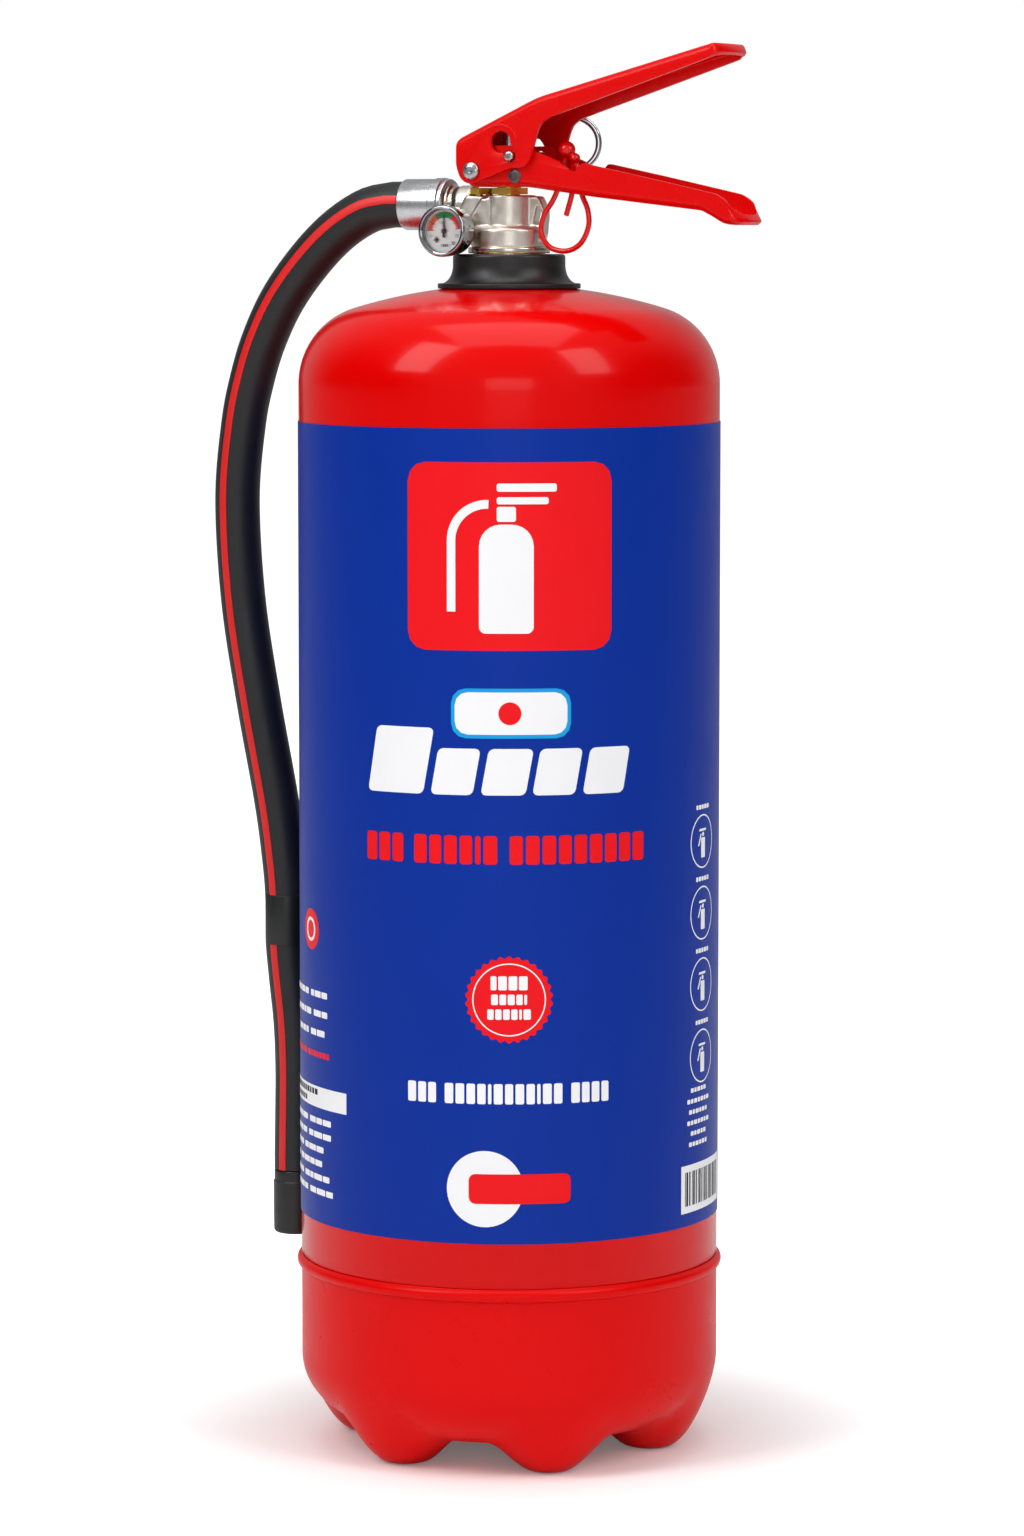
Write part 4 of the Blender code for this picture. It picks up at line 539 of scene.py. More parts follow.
def joined(name, pieces):
    """Joins pieces into one object."""
    select_none()
    for piece in pieces:
        piece.select_set(True)
    bpy.context.view_layer.objects.active = pieces[0]
    if len(pieces) > 1:
        bpy.ops.object.join()
    pieces[0].name = name
    return pieces[0]


def round_curve(name, points, radius, resolution):
    """A round curve through a row of points."""
    curve = bpy.data.curves.new(name, "CURVE")
    curve.dimensions = "3D"
    curve.bevel_depth = radius
    curve.bevel_resolution = resolution
    curve.use_fill_caps = True
    spline = curve.splines.new("POLY")
    spline.points.add(len(points) - 1)
    for point, at in zip(spline.points, points):
        point.co = (*at, 1.0)
    spline.use_smooth = True
    made = bpy.data.objects.new(name, curve)
    bpy.context.scene.collection.objects.link(made)
    return made


def tube_mesh(name, points, radius, resolution=6):
    """A round tube along a row of points, as a mesh."""
    only(round_curve(name, points, radius, resolution))
    bpy.ops.object.convert(target="MESH")
    edit(bpy.context.object)
    tidy_mesh()
    leave_edit()
    return bpy.context.object


def finish(piece, material, body, slot, *nodes):
    """Gives a piece its finish and its body, and hides the solids it stands for."""
    piece.data.materials.clear()
    piece.data.materials.append(MATERIALS[material])
    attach(piece, body)
    if nodes:
        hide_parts(*nodes)
    return piece


def smooth_path(points, count):
    """Points at even distances along a smooth curve through the given points."""
    route = np.array(points, float)
    padded = np.vstack([2.0 * route[0] - route[1], route, 2.0 * route[-1] - route[-2]])
    fine = []
    for index in range(len(route) - 1):
        a, b, c, d = padded[index : index + 4]
        for t in np.linspace(0.0, 1.0, 24, endpoint=False):
            square = (2.0 * a - 5.0 * b + 4.0 * c - d) * t**2
            cube = (3.0 * b - a - 3.0 * c + d) * t**3
            fine.append(0.5 * (2.0 * b + (c - a) * t + square + cube))
    fine = np.array([*fine, route[-1]])
    steps = np.linalg.norm(np.diff(fine, axis=0), axis=1)
    lengths = np.concatenate([[0.0], np.cumsum(steps)])
    wanted = np.linspace(0.0, lengths[-1], count)
    return np.stack([np.interp(wanted, lengths, column) for column in fine.T], axis=1)


# ---------------------------------------------------------------- stage and camera

VIEW_AZIMUTH = math.radians(26.0)
VIEW_DISTANCE = 2.0
VIEW_HEIGHT = 0.4659
VIEW_PITCH = math.radians(5.868)
VIEW_OFFSET = 0.00107
VIEW_LENS = 123.2
LIGHT_TARGET_Z = 0.28
FLOOR_GLOW = 0.80
# Between these distances from the object, the floor's own glow rises from this to its full value: the
# dimmer floor near the object is painted shadow, round the real one.
SHADOW_INNER = 0.075
SHADOW_OUTER = 0.25
SHADOW_GLOW = 0.12
ROOM_LIGHT = 0.40
FLAG_SHADE = 0.10
# Name, azimuth and elevation in degrees, distance, width and height in metres, and watts.
SOFT_BOXES = (
    ("key_light", -30.0, 42.0, 1.7, 0.6, 1.1, 12.0),
    ("fill_light", 74.0, 38.0, 1.9, 0.6, 1.1, 9.5),
    ("front_light", 26.0, 10.0, 2.8, 1.2, 0.7, 5.5),
    ("top_light", 26.0, 84.0, 1.9, 1.4, 1.4, 14.0),
)


def make_camera():
    """The camera, level with the valve and looking a little down."""
    data = bpy.data.cameras.new("camera")
    data.lens = VIEW_LENS
    data.clip_end = 20.0
    camera = bpy.data.objects.new("camera", data)
    back = Vector((math.sin(VIEW_AZIMUTH), -math.cos(VIEW_AZIMUTH), 0.0))
    right = Vector((math.cos(VIEW_AZIMUTH), math.sin(VIEW_AZIMUTH), 0.0))
    camera.location = AXIS + back * VIEW_DISTANCE + right * VIEW_OFFSET
    camera.location.z = VIEW_HEIGHT
    camera.rotation_euler = (math.pi / 2.0 - VIEW_PITCH, 0.0, VIEW_AZIMUTH)
    bpy.context.scene.collection.objects.link(camera)
    bpy.context.scene.camera = camera


def soft_box(name, azimuth, elevation, distance, width, height, power):
    """A rectangular studio light that faces the object from this azimuth and elevation."""
    data = bpy.data.lights.new(name, "AREA")
    data.shape = "RECTANGLE"
    data.size = width
    data.size_y = height
    data.energy = power
    lamp = bpy.data.objects.new(name, data)
    around = math.radians(azimuth)
    up = math.radians(elevation)
    level = math.cos(up)
    way = Vector((math.sin(around) * level, -math.cos(around) * level, math.sin(up)))
    lamp.location = AXIS + Vector((0.0, 0.0, LIGHT_TARGET_Z)) + way * distance
    lamp.rotation_euler = (-way).to_track_quat("-Z", "Y").to_euler()
    bpy.context.scene.collection.objects.link(lamp)


def make_floor():
    """A wide, pale studio floor, which glows plain white away from the object and is dimmed near it as
    painted shadow.
    """
    select_none()
    bpy.ops.mesh.primitive_plane_add(size=60.0)
    floor = bpy.context.object
    floor.name = "studio_floor"
    made, tree, shader, place = start("studio_floor", linear("FAFAFA"), 0.75)
    tint(tree, shader, grain(tree, place, 900 * MM), linear("F6F6F6"), linear("FCFCFC"))
    shader.inputs["Specular IOR Level"].default_value = 0.0
    shader.inputs["Emission Color"].default_value = (1.0, 1.0, 1.0, 1.0)
    seen = add(tree, "ShaderNodeLightPath").outputs["Is Camera Ray"]
    # The glow fades towards the object, so that its real contact shadow stays dark; the dimmed disc round
    # the object is also painted shadow, wider than the real one.
    reach = add(tree, "ShaderNodeVectorMath", {0: place}, operation="LENGTH")
    painted_shadow_fade = add(
        tree,
        "ShaderNodeMapRange",
        {"Value": reach.outputs["Value"], "From Min": SHADOW_INNER, "From Max": SHADOW_OUTER},
        interpolation_type="SMOOTHSTEP",
    )
    painted_shadow_fade.inputs["To Min"].default_value = SHADOW_GLOW
    painted_shadow_fade.inputs["To Max"].default_value = FLOOR_GLOW
    glow = add(
        tree,
        "ShaderNodeMath",
        {0: seen, 1: painted_shadow_fade.outputs["Result"]},
        operation="MULTIPLY",
    )
    tree.links.new(glow.outputs["Value"], shader.inputs["Emission Strength"])
    floor.data.materials.append(made)


def make_world():
    """A white room seen plain white behind the object, with dark flags at its two sides."""
    world = bpy.data.worlds.new("studio")
    bpy.context.scene.world = world
    world.use_nodes = True
    tree = world.node_tree
    white = (1.0, 1.0, 1.0, 1.0)
    backdrop = tree.nodes["Background"]
    backdrop.inputs["Color"].default_value = white
    way = add(tree, "ShaderNodeTexCoord").outputs["Generated"]
    right = (math.cos(VIEW_AZIMUTH), math.sin(VIEW_AZIMUTH), 0.0)
    aside = add(tree, "ShaderNodeVectorMath", {0: way, 1: right}, operation="DOT_PRODUCT")
    far = add(tree, "ShaderNodeMath", {0: aside.outputs["Value"]}, operation="ABSOLUTE")
    flags = add(
        tree,
        "ShaderNodeMapRange",
        {"Value": far.outputs["Value"], "From Min": 0.62, "From Max": 0.92, "To Min": 1.0},
    )
    flags.inputs["To Max"].default_value = FLAG_SHADE
    level = add(tree, "ShaderNodeMath", {0: flags.outputs["Result"], 1: ROOM_LIGHT}, operation="MULTIPLY")
    room = add(tree, "ShaderNodeBackground", {"Color": white, "Strength": level.outputs["Value"]})
    seen = add(tree, "ShaderNodeLightPath").outputs["Is Camera Ray"]
    mixed = add(tree, "ShaderNodeMixShader", {"Fac": seen})
    tree.links.new(room.outputs["Background"], mixed.inputs[1])
    tree.links.new(backdrop.outputs["Background"], mixed.inputs[2])
    tree.links.new(mixed.outputs["Shader"], tree.nodes["World Output"].inputs["Surface"])


# ---------------------------------------------------------------- hose

HOSE_ROUTE = [
    (-0.0437, 0.4747),
    (-0.0490, 0.4747),
    (-0.0600, 0.4725),
    (-0.0730, 0.4650),
    (-0.0855, 0.4535),
    (-0.0975, 0.4385),
    (-0.1059, 0.4226),
    (-0.1113, 0.4070),
    (-0.1152, 0.3895),
    (-0.1180, 0.3602),
    (-0.1156, 0.3212),
    (-0.1091, 0.2822),
    (-0.1013, 0.2432),
    (-0.0979, 0.2200),
    (-0.0967, 0.2070),
    (-0.0966, 0.1970),
    (-0.0965, 0.1870),
    (-0.0952, 0.1740),
    (-0.0932, 0.1560),
    (-0.0925, 0.1380),
    (-0.0927, 0.1200),
    (-0.0930, 0.1040),
    (-0.0930, 0.0983),
]
HOSE_STATIONS = 120
# The red line sits this far round from the hose's front, towards the inside of its bend.
STRIPE_TURN = math.radians(12.0)
STRIPE_PROUD = 0.08 * MM
STRIPE_ROWS = 8


def hose_line():
    """The hose's centre line."""
    inner = smooth_path(HOSE_ROUTE[1:-1], HOSE_STATIONS - 2)
    path = [HOSE_ROUTE[0], *inner, HOSE_ROUTE[-1]]
    return [Vector((AXIS_X + x, 0.0, z)) for x, z in path]


def make_stripe(sizes, path):
    """The thin red line along the hose's side."""
    radius = sizes.hose_diameter / 2.0
    half = sizes.stripe_width / 2.0 / radius
    last = len(path) - 1
    front = Vector((0.0, -1.0, 0.0))

    def place(u, v):
        index = int(round(u * last))
        before = path[max(index - 1, 0)]
        after = path[min(index + 1, last)]
        inside = (after - before).normalized().cross(front).normalized()
        turn = STRIPE_TURN + (2.0 * v - 1.0) * half
        edge = min(1.0, 6.0 * min(v, 1.0 - v))
        lift = radius + STRIPE_PROUD * edge
        return path[index] + (front * math.cos(turn) + inside * math.sin(turn)) * lift

    stripe = shaped_grid("hose_stripe", last, STRIPE_ROWS, place, close=False)
    apply(stripe, "SOLIDIFY", thickness=2.0 * STRIPE_PROUD, offset=-1.0)
    edit(stripe)
    tidy_mesh()
    leave_edit()
    return finish(smooth(stripe, math.radians(60.0)), "stripe", "extinguisher", "black_rubber")


def make_nozzle(sizes):
    """The nozzle: a black moulded sleeve with a rolled lip, pushed on the hose's end."""
    middle, low, high = size_of("nozzle")
    radius = sizes.nozzle_diameter / 2.0
    mouth = 3.4 * MM
    socket = 5.2 * MM
    lip = 1.3 * MM
    profile = [(mouth, high.z - 11.0 * MM), (mouth, low.z + 1.0 * MM)]
    profile += arc((mouth + 1.0 * MM, low.z + 1.0 * MM), 1.0 * MM, math.pi, 1.5 * math.pi, 5)[1:]
    profile += arc((radius - lip - 0.1 * MM, low.z + lip), lip, -math.pi / 2.0, 0.0, 8)
    profile += [(radius, low.z + 5.0 * MM), (radius, high.z - 4.6 * MM)]
    profile += [(radius - 0.35 * MM, high.z - 4.2 * MM)]
    profile += arc((radius - 1.05 * MM, high.z - 0.7 * MM), 0.7 * MM, 0.0, math.pi / 2.0, 6)
    profile += [(socket, high.z), (socket, high.z - 6.0 * MM)]
    nozzle = turned("spray_nozzle", profile, 96, place=(middle.x, 0.0, 0.0))
    return finish(smooth(nozzle), "nylon", "extinguisher", "black_plastic", "nozzle")


def make_hose(sizes):
    """The black hose with its red line and its nozzle."""
    path = hose_line()
    hose = round_curve("discharge_hose", path, sizes.hose_diameter / 2.0, 14)
    finish(hose, "rubber", "extinguisher", "black_rubber", "hose")
    make_stripe(sizes, path)
    nozzle = make_nozzle(sizes)


# ---------------------------------------------------------------- vessel, base and label

SHOULDER_Z = 0.4070
SHOULDER_RADIUS = 0.0300
CROWN_RADIUS = 0.2000
NECK_HOLE_RADIUS = 0.0143
WALL = 0.0016
KNUCKLE = CYLINDER_RADIUS - SHOULDER_RADIUS
KNUCKLE_ANGLE = math.asin(KNUCKLE / (CROWN_RADIUS - SHOULDER_RADIUS))
CROWN_CENTRE_Z = SHOULDER_Z - (CROWN_RADIUS - SHOULDER_RADIUS) * math.cos(KNUCKLE_ANGLE)

BASE_RIM_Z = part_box("base_cup")[1].z
BASE_WALL = 0.0024
BEAD_PROUD = 0.0017
BEAD_HALF = 0.0026
BASE_ROUND_Z = 0.0346
BASE_ROUND_RUN = 0.0270
BASE_FLOOR_Z = 0.0105
BASE_CENTRE_RISE = 0.0060
FOOT_COUNT = 6
FOOT_RADIUS = 0.0540
FOOT_PAD_RADIUS = 0.0060
FOOT_SPREAD = 0.0230
FOOT_ANGLE = 1.5 * TURN / 48.0
# Past its middle circle, a foot spreads this much further than towards the axis.
FOOT_OUTER_STRETCH = 1.25
DISH_RADIUS = FOOT_RADIUS * 0.62
FLOOR_STEPS = 22
ROUND_STEPS = 30
BASE_COLUMNS = 240

LABEL_FACING = VIEW_AZIMUTH - math.pi / 2.0
FILM_INNER = 0.10 * MM
FILM_OUTER = 0.30 * MM
FILM_SEAM = TURN / 48.0
PRINT_STEP = 2.5 * MM
INK = 0.04 * MM
CODE_WIDTH = 33.0
PRINT_LAYER = {"base": 0.03 * MM, "second": 0.08 * MM, "top": 0.13 * MM}


def crown_height(radius):
    return CROWN_CENTRE_Z + math.sqrt(CROWN_RADIUS**2 - radius**2)


def dome(inset, crown_steps, knuckle_steps):
    """The vessel's outline from the neck hole to the straight side, moved in by the inset."""
    crown = CROWN_RADIUS - inset
    first = math.acos(NECK_HOLE_RADIUS / crown)
    corner = math.pi / 2.0 - KNUCKLE_ANGLE
    top = arc((0.0, CROWN_CENTRE_Z), crown, first, corner, crown_steps)
    side = arc((KNUCKLE, SHOULDER_Z), SHOULDER_RADIUS - inset, corner, 0.0, knuckle_steps)
    return top + side[1:]


def make_vessel():
    """The pressure vessel: a drawn steel shell with a domed top and a round lower head."""
    step_z = BASE_RIM_Z - 3.6 * MM
    lower = CYLINDER_RADIUS - BASE_WALL - 0.4 * MM
    knuckle = 30.0 * MM
    head = (lower - knuckle, 60.0 * MM)
    turn = -math.radians(70.0)
    outer = dome(0.0, 18, 20) + [(CYLINDER_RADIUS, BASE_RIM_Z + 0.6 * MM), (lower, step_z)]
    outer += arc(head, knuckle, 0.0, turn, 10)
    outer += [(0.0, VESSEL_LOW.z)]
    inner = dome(WALL, 12, 12) + [(lower - WALL, step_z)]
    inner += arc(head, knuckle - WALL, 0.0, turn, 8)
    inner += [(0.0, VESSEL_LOW.z + WALL)]
    profile = list(reversed(outer)) + inner
    shell = turned("pressure_vessel", profile, 160, closed=False, place=AXIS)
    return finish(smooth(shell), "enamel", "extinguisher", "red_enamel", "cylinder_shell")


def base_floor(radius, angle):
    """The height of the base's outer surface, which comes down to the floor at each foot."""
    run = (radius - (CYLINDER_RADIUS - BASE_ROUND_RUN)) / BASE_ROUND_RUN
    height = BASE_FLOOR_Z
    if run > 0.0:
        height = BASE_ROUND_Z - (BASE_ROUND_Z - BASE_FLOOR_Z) * math.sqrt(max(0.0, 1.0 - run**2))
    dish = max(0.0, 1.0 - (radius / DISH_RADIUS) ** 2)
    height += BASE_CENTRE_RISE * dish**2
    spacing = TURN / FOOT_COUNT
    off = (angle - FOOT_ANGLE + spacing / 2.0) % spacing - spacing / 2.0
    across = radius - FOOT_RADIUS
    if across > 0.0:
        across /= FOOT_OUTER_STRETCH
    away = math.hypot(across, FOOT_RADIUS * off)
    rise = (away - FOOT_PAD_RADIUS) / (FOOT_SPREAD - FOOT_PAD_RADIUS)
    rise = min(1.0, max(0.0, rise))
    return height * rise * rise * (3.0 - 2.0 * rise)


def base_section():
    """Rows of the base's wall: (kind, radius, height), out, up and back down inside."""
    turns = [math.pi / 2.0 * step / ROUND_STEPS for step in range(ROUND_STEPS)]
    inner_edge = CYLINDER_RADIUS - BASE_ROUND_RUN
    radii = [inner_edge * step / FLOOR_STEPS for step in range(FLOOR_STEPS)]
    radii += [inner_edge + BASE_ROUND_RUN * math.sin(turn) for turn in turns]
    swell_centre = (CYLINDER_RADIUS + BEAD_PROUD - BEAD_HALF, BASE_RIM_Z - BEAD_HALF)
    swell = arc(swell_centre, BEAD_HALF, -math.radians(75.0), math.radians(80.0), 14)
    low = swell[0][1] - 1.2 * MM
    rows = [("floor", radius, 0.0) for radius in radii]
    rows += [("wall", CYLINDER_RADIUS, BASE_ROUND_Z), ("wall", CYLINDER_RADIUS, low)]
    rows += [("wall", max(CYLINDER_RADIUS, radius), height) for radius, height in swell]
    rows += [("wall", CYLINDER_RADIUS - BASE_WALL, BASE_RIM_Z - 3.5 * MM)]
    rows += [("inside", radius, BASE_WALL) for radius in reversed(radii)]
    return rows


def make_base():
    """The moulded base: six rounded feet, a rounded corner, a plain wall and a beaded rim."""
    rows = base_section()
    last = len(rows) - 1

    def place(u, v):
        kind, radius, height = rows[int(round(v * last))]
        angle = u * TURN
        if kind == "floor":
            height = base_floor(radius, angle)
        elif kind == "inside":
            height = base_floor(radius, angle) + BASE_WALL
            radius -= BASE_WALL * (radius / CYLINDER_RADIUS) ** 2
        return AXIS + Vector((radius * math.cos(angle), radius * math.sin(angle), height))

    base = shaped_grid("foot_moulding", BASE_COLUMNS, last, place)
    return finish(smooth(base, math.radians(50.0)), "base", "extinguisher", "red_plastic", "base_cup")


def make_label_film():
    """The blue film, wrapped round the cylinder with a bare strip at the back."""
    _, low, high = size_of("label_sleeve")
    first = math.pi / 2.0
    last = first + TURN - FILM_SEAM
    centre = (AXIS_X, 0.0)
    outline = arc(centre, CYLINDER_RADIUS + FILM_OUTER, first, last, 220)
    outline += reversed(arc(centre, CYLINDER_RADIUS + FILM_INNER, first, last, 220))
    film = upright_block("label_film", outline, low.z, high.z)
    return finish(smooth(film), "film", "extinguisher", "label_film", "label_sleeve")


def block(left, low, width, height, slant=0.0):
    """A printed block in millimetres along the label: (left, low, width, height, lean)."""
    return left, low, width, height, height * slant


def words(left, low, height, widths, gap, slant=0.0):
    """A row of blocks that stands for a line of print. A width of 0 leaves a word's space."""
    row = []
    for width in widths:
        if width > 0.0:
            row.append(block(left, low, width, height, slant))
            left += width + gap
        else:
            left += 3.0 * gap
    return row


def blocks(rows, soft):
    """One flat mesh of printed blocks, whose corners are rounded by soft millimetres."""
    select_none()
    bpy.ops.mesh.primitive_plane_add(size=1.0)
    sheet = bpy.context.object
    bpy.ops.object.mode_set(mode="EDIT")
    for _ in rows[1:]:
        bpy.ops.mesh.primitive_plane_add(size=1.0)
    leave_edit()
    for index, (left, low, width, height, lean) in enumerate(rows):
        for vertex in sheet.data.vertices[4 * index : 4 * index + 4]:
            top = vertex.co.y > 0.0
            along = left + (width if vertex.co.x > 0.0 else 0.0) + (lean if top else 0.0)
            vertex.co = (along * MM, 0.0, (low + (height if top else 0.0)) * MM)
    if soft > 0.0:
        edit(sheet)
        bpy.ops.mesh.bevel(offset=soft * MM, segments=3, affect="VERTICES", clamp_overlap=True)
        leave_edit()
    return sheet


def flat_shape(outline):
    """A flat filled outline in millimetres along and up the label."""
    line = wire("print_shape", [(x * MM, 0.0, z * MM) for x, z in outline], closed=True)
    edit(line)
    bpy.ops.mesh.edge_face_add()
    leave_edit()
    return line


def disc(x, z, radius, steps=56):
    return flat_shape(arc((x, z), radius, 0.0, TURN, steps)[:-1])


def thin_ring(x, z, radius, width, steps=28):
    """A thin ring, as two half rings."""
    halves = []
    for first in (0.0, math.pi):
        outline = arc((x, z), radius, first, first + math.pi, steps)
        outline += reversed(arc((x, z), radius - width, first, first + math.pi, steps))
        halves.append(flat_shape(outline))
    return halves


def scalloped_disc(x, z, radius, scallops=30, depth=1.0):
    """A disc with a wavy rim."""
    steps = scallops * 6
    outline = []
    for step in range(steps):
        turn = TURN * step / steps
        reach = radius - depth * (0.5 + 0.5 * math.cos(scallops * turn))
        outline.append((x + reach * math.cos(turn), z + reach * math.sin(turn)))
    return flat_shape(outline)


def wrapped(name, shapes, material, layer):
    """Joins flat shapes, cuts them into narrow strips, and wraps them on the label."""
    sheet = joined(name, shapes)
    xs = [vertex.co.x for vertex in sheet.data.vertices]
    edit(sheet)
    for step in range(math.ceil(min(xs) / PRINT_STEP), math.floor(max(xs) / PRINT_STEP) + 1):
        select_whole()
        bpy.ops.mesh.bisect(plane_co=(step * PRINT_STEP, 0.0, 0.0), plane_no=SIDEWAYS)
    leave_edit()
    radius = CYLINDER_RADIUS + FILM_OUTER + PRINT_LAYER[layer]
    for vertex in sheet.data.vertices:
        turn = LABEL_FACING + vertex.co.x / CYLINDER_RADIUS
        height = vertex.co.z
        vertex.co = AXIS + Vector((radius * math.cos(turn), radius * math.sin(turn), height))
    apply(sheet, "SOLIDIFY", thickness=INK, offset=0.0)
    edit(sheet)
    bpy.ops.mesh.normals_make_consistent(inside=False)
    leave_edit()
    return finish(sheet, material, "extinguisher", "label_film")


def pictogram(x, z):
    """Blocks of a plain figure: a small cylinder with a neck, a lever and an arm."""
    return [
        block(x - 1.6, z - 6.2, 3.6, 7.6),
        block(x - 0.6, z + 1.9, 1.6, 1.5),
        block(x - 3.4, z + 3.9, 6.2, 0.9, 0.4),
        block(x - 4.4, z - 1.6, 1.0, 4.6, 0.5),
    ]


def badge_figure():
    """The plain white extinguisher on the large red badge."""
    hose_first, hose_last = math.radians(88.0), math.pi
    hose = arc((-8.0, 352.0), 15.0, hose_first, hose_last, 16) + [(-23.0, 326.0), (-19.8, 326.0)]
    hose += reversed(arc((-8.0, 352.0), 11.8, hose_first, hose_last, 16))
    tank = [(-11.0, 318.0, 2.5), (9.0, 318.0, 2.5), (9.0, 358.0, 8.0), (-11.0, 358.0, 8.0)]
    parts = [block(-4.5, 359.0, 7.0, 5.5), block(-4.5, 370.0, 22.0, 3.0)]
    parts.append(block(-4.5, 365.4, 19.0, 2.6))
    return [flat_shape(rounded(tank)), flat_shape(hose), blocks(parts, 0.8)]


def code_stripes(left, low, height):
    """Plain stripes that stand for a machine-readable code."""
    stripes = []
    at = left
    step = 0
    while at < left + CODE_WIDTH:
        width = 0.45 + 0.40 * (step * 5 % 3)
        stripes.append(block(at, low, width, height))
        at += width + 0.5 + 0.35 * (step * 7 % 3)
        step += 1
    return stripes


def print_first_layer():
    """The red and cyan print: the large badge, two lines of blocks and the round seals."""
    heading = [4.6, 4.8, 4.6, 0, 5.0, 4.6, 4.8, 4.6, 2.0, 5.0, 0]
    heading += [4.8, 5.0, 5.0, 4.8, 4.8, 5.0, 4.8, 4.8, 5.0]
    small = [2.6, 1.8, 3.1, 0, 2.2, 2.7, 2.0, 2.9, 0, 3.0, 2.2, 2.6, 1.9, 2.4, 2.8, 2.0]
    red = [blocks([block(-38.5, 311.7, 77.5, 69.0)], 7.0)]
    red.append(blocks(words(-57.0, 232.8, 10.6, heading, 1.15), 1.3))
    red.append(blocks(words(-124.0, 154.0, 2.3, small, 0.5), 0.5))
    red += [scalloped_disc(0.0, 182.6, 16.3), disc(-96.0, 202.3, 7.8)]
    wrapped("label_print_red", red, "red_ink", "base")
    wrapped("label_print_cyan", [blocks([block(-21.5, 279.4, 44.5, 18.4)], 5.5)], "cyan_ink", "base")


def scaled_words(left, low, height, widths, factor):
    """A line of small print, whose block widths are scaled by a factor."""
    return words(left, low, height, [width * factor for width in widths], 0.7)


def left_print():
    """The two paragraphs of small print on the left of the label."""
    first = [[5, 3, 6, 4, 0, 3, 5, 4], [4, 6, 3, 5, 0, 6, 4], [6, 4, 3, 0, 5, 6]]
    second = [[5, 4, 6, 0, 5, 4, 5], [6, 3, 5, 0, 4, 6, 5], [5, 5, 0, 4, 6, 5], [4, 0, 5, 6, 4, 5]]
    second += [[6, 4, 0, 5, 3, 6, 4], [5, 6, 4, 0, 5, 6, 4]]
    print_rows = []
    for row, widths in enumerate(first):
        print_rows += scaled_words(-121.0 + 3.0 * row, 177.0 - 7.4 * row, 2.4, widths, 1.1)
    for row, widths in enumerate(second):
        print_rows += scaled_words(-121.0, 128.6 - 5.4 * row, 2.3, widths, 1.25)
    return print_rows


def right_print():
    """The four ringed pictograms and the small print on the right: (rings, blocks)."""
    figures = []
    rings = []
    for step in range(4):
        level = 236.2 - 27.2 * step
        rings += thin_ring(91.0, level, 10.2, 0.55)
        figures += pictogram(91.0, level)
        figures += words(85.2, level + 12.2, 1.7, [1.6, 2.2, 1.8, 2.4, 1.9], 0.45)
    for row, count in enumerate([5, 7, 6, 7, 5, 6]):
        widths = [2.2, 1.8, 2.6, 1.9, 2.4, 2.0, 2.7][:count]
        figures += words(79.0 + 1.3 * (7 - count), 141.5 - 4.1 * row, 1.7, widths, 0.55)
    return rings, figures


def print_white_layer():
    """The white print: large leaning blocks, a line of small ones, panels and small print."""
    large = [block(-56.5, 258.4, 24.0, 24.6, 0.18)]
    large += [
        block(-29.5 + 19.0 * step, 258.4, width, 17.2, 0.18)
        for step, width in enumerate([16.0, 16.5, 16.0, 16.5])
    ]
    second = [3.3, 3.2, 3.1, 0, 3.3, 3.3, 3.2, 3.1, 1.3, 3.3, 3.0, 3.2, 3.1, 1.3, 3.3, 3.2, 0]
    second += [3.3, 3.0, 3.1, 2.9]
    rows = words(-38.8, 143.6, 7.6, second, 0.85)
    panels = [block(-124.0, 134.9, 55.0, 8.0), block(75.0, 96.0, 39.0, 18.2)]
    rings, figures = right_print()
    white = [blocks(large, 2.0), blocks(rows, 0.8), blocks(left_print() + figures, 0.4)]
    white += [blocks(panels, 0.0), disc(-9.0, 111.8, 14.3), *rings]
    white.append(blocks([block(-20.1, 280.8, 41.7, 15.6)], 4.8))
    wrapped("label_print_white", white, "white_ink", "second")


def print_top_layer():
    """The figures and blocks that lie on the badges and panels, and the code's stripes."""
    badge = thin_ring(0.0, 182.6, 13.6, 0.45) + badge_figure() + thin_ring(-96.0, 202.3, 4.6, 1.2)
    letters = []
    badge_rows = [[2.2, 3.2, 3.2, 3.2], [2.5, 2.4, 2.6, 2.3, 1.0], [2.3, 2.3, 2.4, 2.3, 1.0, 2.7]]
    for widths, low, height in zip(badge_rows, (186.2, 180.7, 175.2), (5.2, 3.9, 3.9)):
        length = sum(widths) + 0.6 * (len(widths) - 1)
        letters += words(-length / 2.0, low, height, widths, 0.6)
    badge.append(blocks(letters, 0.6))
    wrapped("label_print_badge", badge, "white_ink", "top")

    marks = [blocks([block(-15.0, 106.2, 38.0, 11.2)], 2.4), disc(0.3, 288.6, 4.2)]
    wrapped("label_print_marks", marks, "red_ink", "top")

    dark = code_stripes(77.5, 98.6, 13.0)
    dark += words(-122.0, 139.6, 2.2, [2.2, 1.6, 2.7, 1.8, 2.3, 1.7, 2.2, 2.6, 1.6, 2.0, 2.5], 0.9)
    dark += words(-118.0, 136.2, 2.0, [2.0, 1.6, 2.4, 1.8, 2.1, 1.9], 0.9)
    wrapped("label_print_black", [blocks(dark, 0.0)], "black_ink", "top")


def print_label():
    """The print on the label: plain badges, blocks in place of words, and pictograms."""
    print_first_layer()
    print_white_layer()
    print_top_layer()


# ---------------------------------------------------------------- neck and valve

VALVE_FLANGE_Z = 0.4563
VALVE_BARREL_Z = VALVE_FLANGE_Z + 0.0023
VALVE_BOSS_Z = VALVE_BARREL_Z + 0.0076
VALVE_TOP_Z = VALVE_BOSS_Z + 0.0120
VALVE_NECK_LOW_Z = VALVE_FLANGE_Z - 0.0200
OUTLET_Z = 0.4747
OUTLET_FACE_X = -0.0198
SEAT_Z = VALVE_BARREL_Z + 0.0057
GAUGE_X = -0.0161
GAUGE_Z = 0.4647
GAUGE_LUG_Y = -0.0090
VALVE_BORE = 0.0075


